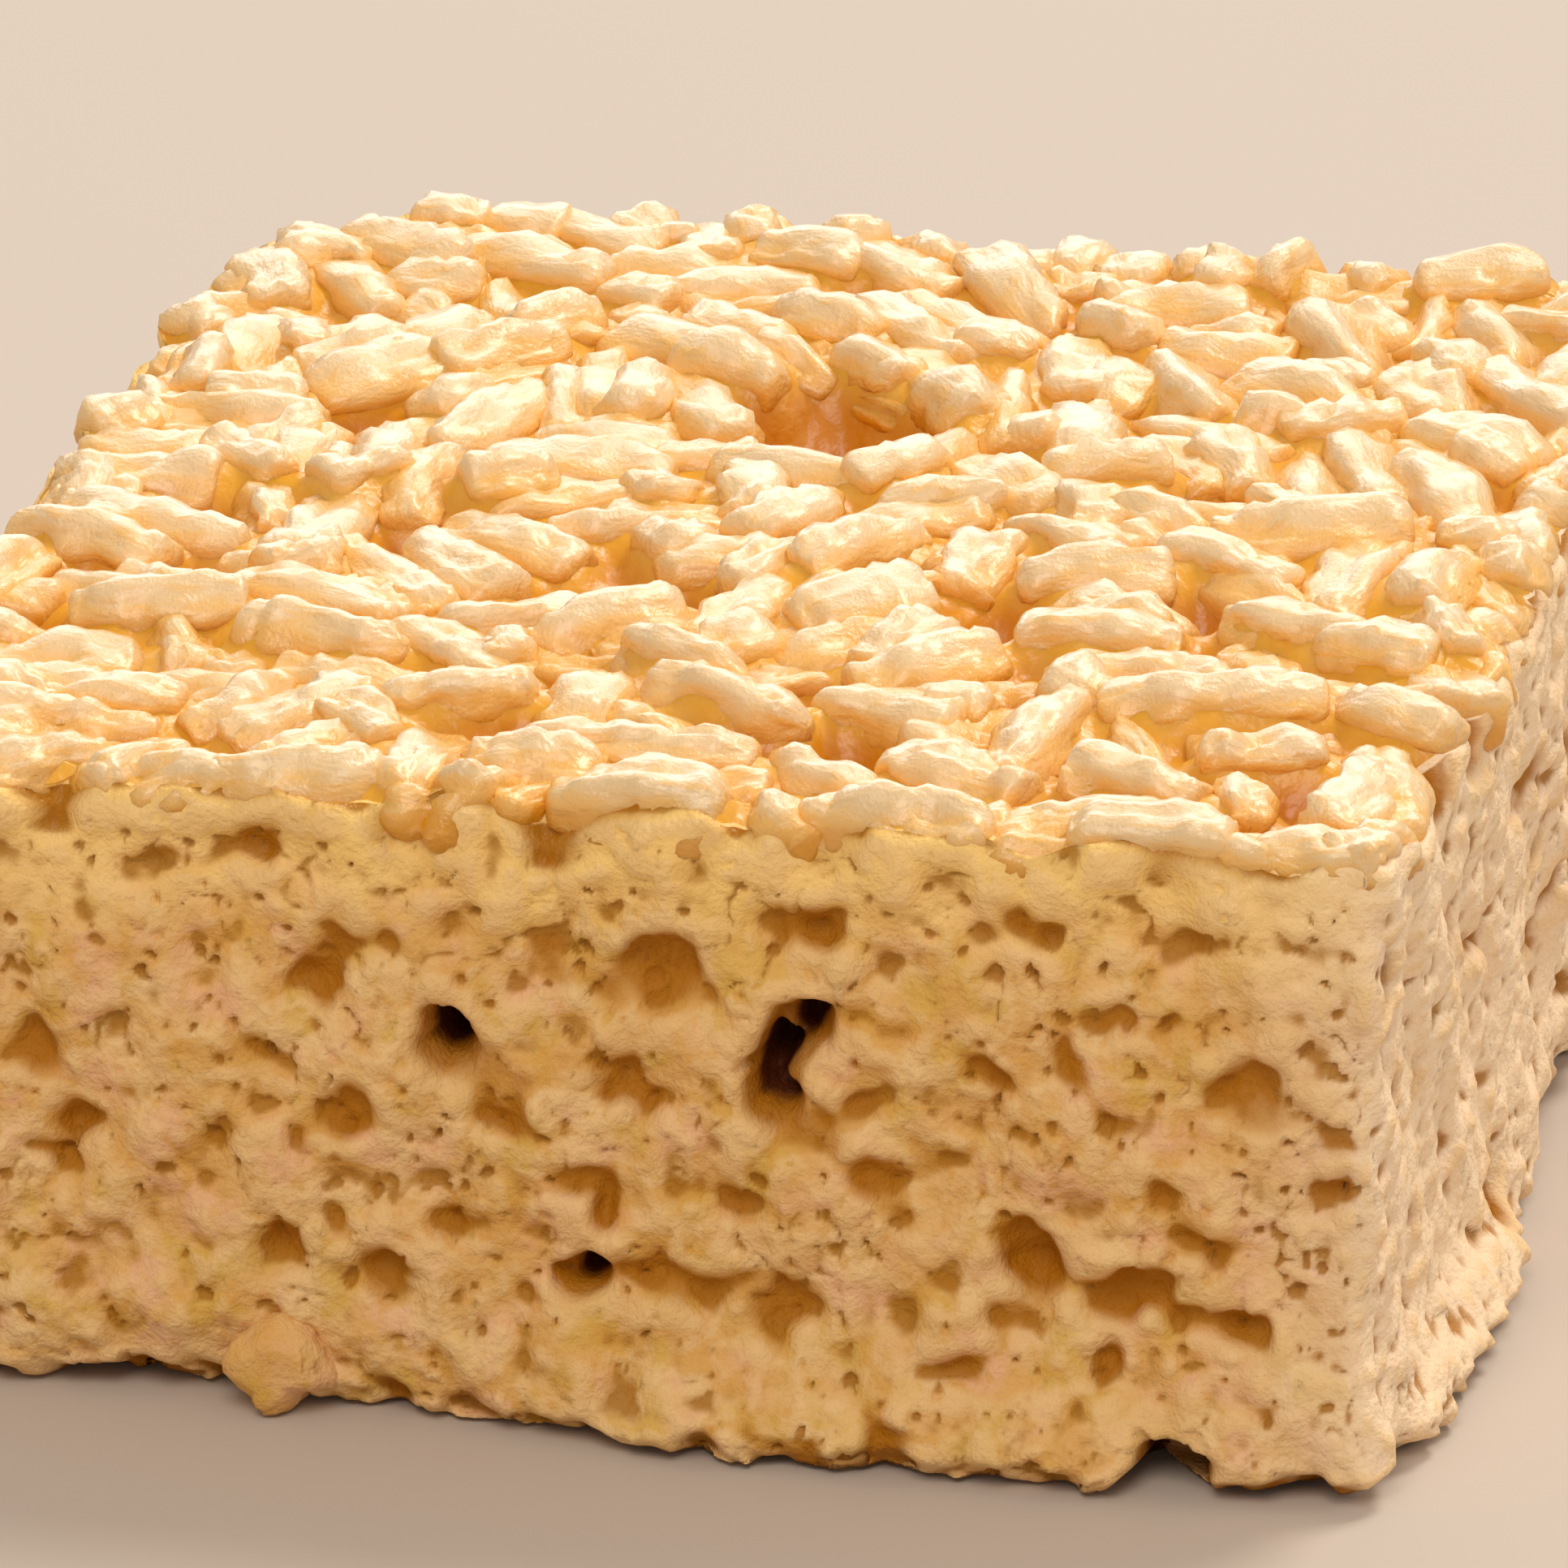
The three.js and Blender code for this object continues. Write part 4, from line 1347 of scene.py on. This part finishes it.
crumbLook = {
    "patchSize": 0.0021,
    "bump": (0.6, 0.00016),
    "crumb": linear(225, 172, 99),
    # pale is the paler crumb of random tone and also the painted light on bumps
    "pale": linear(238, 198, 138),
    "paintedRightLight": linear(249, 224, 191),  # painted light: the colour the cut takes towards the right, as if lit more from there
    "pinkish": linear(236, 182, 138),
    "olive": linear(218, 174, 78),
    "filled": linear(218, 160, 70),
    # groove is the painted shade in pits and grooves
    "groove": linear(172, 114, 20),
    "golden": linear(255, 213, 130),
    # amber is partly the marshmallow in the hollows and partly painted shade; dark is painted shade in the
    # deepest hollows
    "amber": linear(176, 110, 8),
    "dark": linear(80, 32, 4),
    "shader": {
        "Roughness": 0.62,
        "Specular IOR Level": 0.2,
    },
}


def makeCutCrumb(mottle):
    look = crumbLook
    material, nodes, principled = startMaterial("cutCrumb", look["shader"])
    spots = nodes.add("ShaderNodeGroup", {"Patch size": look["patchSize"]}, node_tree=mottle)
    tone = nodes.attribute("tone")
    paleness = nodes.math("MULTIPLY_ADD", tone, 0.25)
    paleness.node.inputs[2].default_value = 0.1
    paleness = nodes.math("ADD", paleness, nodes.span(spots.outputs["Patches"], 0.35, 0.7), clamp=True)
    colour = nodes.mix(paleness, look["crumb"], look["pale"])
    hue = spots.outputs["Hue"]
    colour = nodes.mix(nodes.span(hue, 0.52, 0.68, 0.0, 0.75), colour, look["pinkish"])
    colour = nodes.mix(nodes.span(hue, 0.48, 0.32, 0.0, 0.75), colour, look["olive"])
    colour = nodes.mix(nodes.math("MULTIPLY", nodes.attribute("film"), 0.6), colour, look["filled"])
    colour = nodes.mix(nodes.span(spots.outputs["Flecks"], 0.55, 0.72, 0.0, 0.5), colour, look["filled"])
    patchy = nodes.span(spots.outputs["Patches"], 0.35, 0.65, 0.65, 1.0)
    colour = nodes.mix(nodes.math("MULTIPLY", nodes.attribute("nearTop"), patchy), colour, look["golden"])
    # painted light: paler towards the right
    colour = nodes.mix(nodes.math("MULTIPLY", nodes.attribute("paintedRightLight"), 0.85), colour, look["paintedRightLight"])
    # painted shade in pits and painted light on bumps, from how far a point lies below or above the face
    # around it
    pit = nodes.attribute("pit")
    colour = nodes.mix(nodes.span(pit, 0.1, 0.9, 0.0, 0.85), colour, look["groove"])
    colour = nodes.mix(nodes.span(pit, -0.15, -0.8, 0.0, 0.6), colour, look["pale"])
    # painted shade in the hollows: amber partly marshmallow, partly shade, and the deepest darker still
    hollowGlazeAndShade = nodes.attribute("hollowGlazeAndShade")
    uneven = nodes.span(spots.outputs["Hue"], 0.3, 0.7, 0.72, 1.0)
    colour = nodes.mix(nodes.math("MULTIPLY", nodes.span(hollowGlazeAndShade, 0.06, 0.3), uneven), colour, look["amber"])
    colour = nodes.mix(nodes.span(hollowGlazeAndShade, 0.48, 0.8), colour, look["dark"])
    rough = nodes.span(nodes.attribute("nearTop"), 0.3, 1.0, 0.62, 0.32)
    nodes.tree.links.new(rough, principled.inputs["Roughness"])
    height = nodes.math("ADD", nodes.math("MULTIPLY", spots.outputs["Flecks"], 0.6), spots.outputs["Grit"])
    finishMaterial(nodes, principled, colour, height, look)
    return material


grainLook = {
    "patchSize": 0.0016,
    "bump": (0.6, 0.0002),
    "streaks": (1.9, 2.0),  # scale and detail
    # crest is the painted highlight on the tops and ridges of the grains, and the paler tone of some grains
    "crest": linear(230, 199, 152),
    "body": linear(236, 182, 96),
    # low is partly the golden marshmallow in the crevices and partly painted shade there
    "low": linear(216, 146, 26),
    "shader": {
        "Roughness": 0.36,
        "Subsurface Weight": 0.35,
        "Subsurface Radius": (1.0, 0.74, 0.36),
        "Subsurface Scale": 0.001,
        "Specular IOR Level": 0.55,
        "Coat Weight": 0.5,
        "Coat Roughness": 0.27,
    },
}


def makeGrainFinish(mottle):
    look = grainLook
    material, nodes, principled = startMaterial("puffedGrain", look["shader"])
    spots = nodes.add("ShaderNodeGroup", {"Patch size": look["patchSize"]}, node_tree=mottle)
    crevices = nodes.attribute("crevice")
    # painted light and shade: the top of each grain paler and its flanks golden, as the light falls on them
    turned = nodes.span(nodes.attribute("paintedCrownLight"), 0.82, 0.1, 0.0, 0.85)
    flankAndCreviceShade = nodes.math("MAXIMUM", turned, nodes.span(crevices, 0.02, 0.34))
    colour = nodes.mix(flankAndCreviceShade, look["crest"], look["body"])
    # deep in the crevices amber: partly marshmallow glaze, partly painted shade
    colour = nodes.mix(nodes.span(crevices, 0.3, 0.8), colour, look["low"])
    lengthwise = nodes.add("ShaderNodeAttribute", attribute_name="lengthwise").outputs["Vector"]
    scale, detail = look["streaks"]
    streaks = nodes.add("ShaderNodeTexNoise", {"Vector": lengthwise, "Scale": scale, "Detail": detail})
    streaks = streaks.outputs[0]
    shift = nodes.math("MULTIPLY", nodes.attribute("tone"), 0.2)
    # painted highlight on the ridges of the streaks, which also make the bump, with a random paler tone for
    # some grains
    ridges = nodes.span(streaks, 0.42, 0.66, 0.0, 0.5)
    ridges = nodes.math("MULTIPLY", ridges, nodes.span(crevices, 0.6, 0.2))
    colour = nodes.mix(nodes.math("ADD", shift, ridges, clamp=True), colour, look["crest"])
    # painted shade in the troughs of the streaks
    colour = nodes.mix(nodes.span(streaks, 0.48, 0.3, 0.0, 0.6), colour, look["body"])
    height = nodes.math("MULTIPLY_ADD", streaks, 1.6)
    nodes.tree.links.new(nodes.math("MULTIPLY", spots.outputs["Grit"], 0.4), height.node.inputs[2])
    finishMaterial(nodes, principled, colour, height, look)
    return material


marshmallowLook = {
    "patchSize": 0.0018,
    "bump": (0.4, 0.0002),
    # crest, body and low go from the high bed down into the crevices: partly the marshmallow thicker there,
    # partly painted shade
    "crest": linear(238, 190, 104),
    "body": linear(228, 164, 44),
    "low": linear(202, 126, 6),
    "shader": {
        "Roughness": 0.34,
        "Subsurface Weight": 0.25,
        "Subsurface Radius": (1.0, 0.76, 0.34),
        "Subsurface Scale": 0.0009,
        "Specular IOR Level": 0.4,
        "Coat Weight": 0.1,
        "Coat Roughness": 0.22,
    },
}


def makeMarshmallow(mottle):
    look = marshmallowLook
    material, nodes, principled = startMaterial("marshmallow", look["shader"])
    spots = nodes.add("ShaderNodeGroup", {"Patch size": look["patchSize"]}, node_tree=mottle)
    crevices = nodes.attribute("crevice")
    # deeper into the crevices more amber: partly thicker marshmallow, partly painted shade
    colour = nodes.mix(nodes.span(crevices, 0.1, 0.5), look["crest"], look["body"])
    colour = nodes.mix(nodes.span(crevices, 0.45, 1.0), colour, look["low"])
    paleness = nodes.math("MULTIPLY", nodes.span(spots.outputs["Patches"], 0.45, 0.75), 0.3)
    colour = nodes.mix(paleness, colour, look["crest"])
    finishMaterial(nodes, principled, colour, spots.outputs["Flecks"], look)
    return material


stageLook = {
    "floor": linear(199, 187, 175),
    "world": (1.0, 0.94, 0.88, 1.0),
    "worldStrength": 0.45,
    "aim": (0, 0, 0.011),
    # azimuth and elevation in degrees, distance and size in metres, power in watts, and colour
    "lamps": {
        "key": (150, 56, 1.2, 0.4, 7.9, (1.0, 0.93, 0.84)),
        "window": (195, 24, 1.6, 1.1, 8.8, (1.0, 0.96, 0.96)),
        "side": (100, 30, 0.8, 0.4, 0.8, (1.0, 0.94, 0.9)),
        "fill": (5, 48, 0.8, 0.4, 2.45, (1.0, 0.93, 0.84)),
    },
}


def directionFrom(azimuth, elevation):
    # where a viewer at that azimuth and elevation stands, as seen from the middle
    a = math.radians(azimuth)
    e = math.radians(elevation)
    return Vector((math.sin(a) * math.cos(e), -math.cos(a) * math.cos(e), math.sin(e)))


def addLamp(name, azimuth, elevation, distance, size, power, colour):
    lamp = bpy.data.lights.new(name, "AREA")
    lamp.shape = "DISK"
    lamp.size = size
    lamp.energy = power
    lamp.color = colour
    piece = bpy.data.objects.new(name, lamp)
    back = directionFrom(azimuth, elevation)
    piece.location = Vector(stageLook["aim"]) + back * distance
    piece.rotation_euler = back.to_track_quat("Z", "Y").to_euler()
    bpy.context.scene.collection.objects.link(piece)


def makeStage():
    look = stageLook
    bpy.ops.mesh.primitive_plane_add(size=3.0, location=(0, 0, -0.0001))
    floor = bpy.context.active_object
    floor.name = "floor"
    shader = {"Roughness": 0.85, "Specular IOR Level": 0.1, "Base Color": look["floor"]}
    floor.data.materials.append(startMaterial("paleFloor", shader)[0])
    world = bpy.data.worlds.new("softRoom")
    world.use_nodes = True
    world.node_tree.nodes["Background"].inputs["Color"].default_value = look["world"]
    world.node_tree.nodes["Background"].inputs["Strength"].default_value = look["worldStrength"]
    bpy.context.scene.world = world
    for name, lamp in look["lamps"].items():
        addLamp(name, *lamp)


viewpoint = {
    "azimuth": 13.61,
    "elevation": 21.95,
    "distance": 473.0,
    "target": (-0.61, 0.0, 11.86),
    "lens": 326.85,
    "roll": -0.54,
}


def makeCamera():
    camera = bpy.data.cameras.new("camera")
    camera.lens = viewpoint["lens"]
    camera.sensor_width = 36
    camera.clip_start = 0.01
    piece = bpy.data.objects.new("camera", camera)
    back = directionFrom(viewpoint["azimuth"], viewpoint["elevation"])
    right = Vector((0, 0, 1)).cross(back).normalized()
    up = back.cross(right)
    roll = math.radians(viewpoint["roll"])
    turnedRight = right * math.cos(roll) + up * math.sin(roll)
    turnedUp = up * math.cos(roll) - right * math.sin(roll)
    target = Vector(viewpoint["target"]) * mm
    place = Matrix((turnedRight, turnedUp, back)).transposed().to_4x4()
    place.translation = target + back * viewpoint["distance"] * mm
    piece.matrix_world = place
    bpy.context.scene.collection.objects.link(piece)
    bpy.context.scene.camera = piece


def makeTreat():
    mottle = makeMottleGroup()
    cutCrumb = makeCutCrumb(mottle)
    puffedGrain = makeGrainFinish(mottle)
    marshmallow = makeMarshmallow(mottle)
    shaped = []
    for band in grainBands:
        chosen = [grain for grain in topGrains if band["from"] <= grain["y"] < band["to"]]
        shaped.append(shapeGrains(chosen, band["grid"], band["seed"]))
    grainPoints = np.concatenate([points for points, attributes in shaped])
    heights = TopHeights(bedLook, grainPoints)
    grains = joinGrains()
    under = UnderField(grains)
    print("heights ready")
    pieces = []
    for side in sides:
        pieces.append(makeSide(side, heights, under, grains, grainPoints, [cutCrumb, marshmallow]))
        print("made", side["name"])
    pieces.append(makeBed(heights, [marshmallow]))
    pieces.append(makeUnderside(under, [cutCrumb]))
    for band, (points, attributes) in zip(grainBands, shaped):
        pieces.append(makeGrains(band["name"], points, attributes, band["grid"], heights, [puffedGrain]))
    pieces.append(makeFootGrain([cutCrumb]))
    print("made the bed, the underside and", len(topGrains), "grains")
    for piece in pieces:
        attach(piece, "root")
        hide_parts("treat")
        triangles = sum(len(face.vertices) - 2 for face in piece.data.polygons)
        print(piece.name, triangles, "triangles")


makeTreat()
makeStage()
makeCamera()
bpy.context.scene.view_settings.view_transform = "Standard"
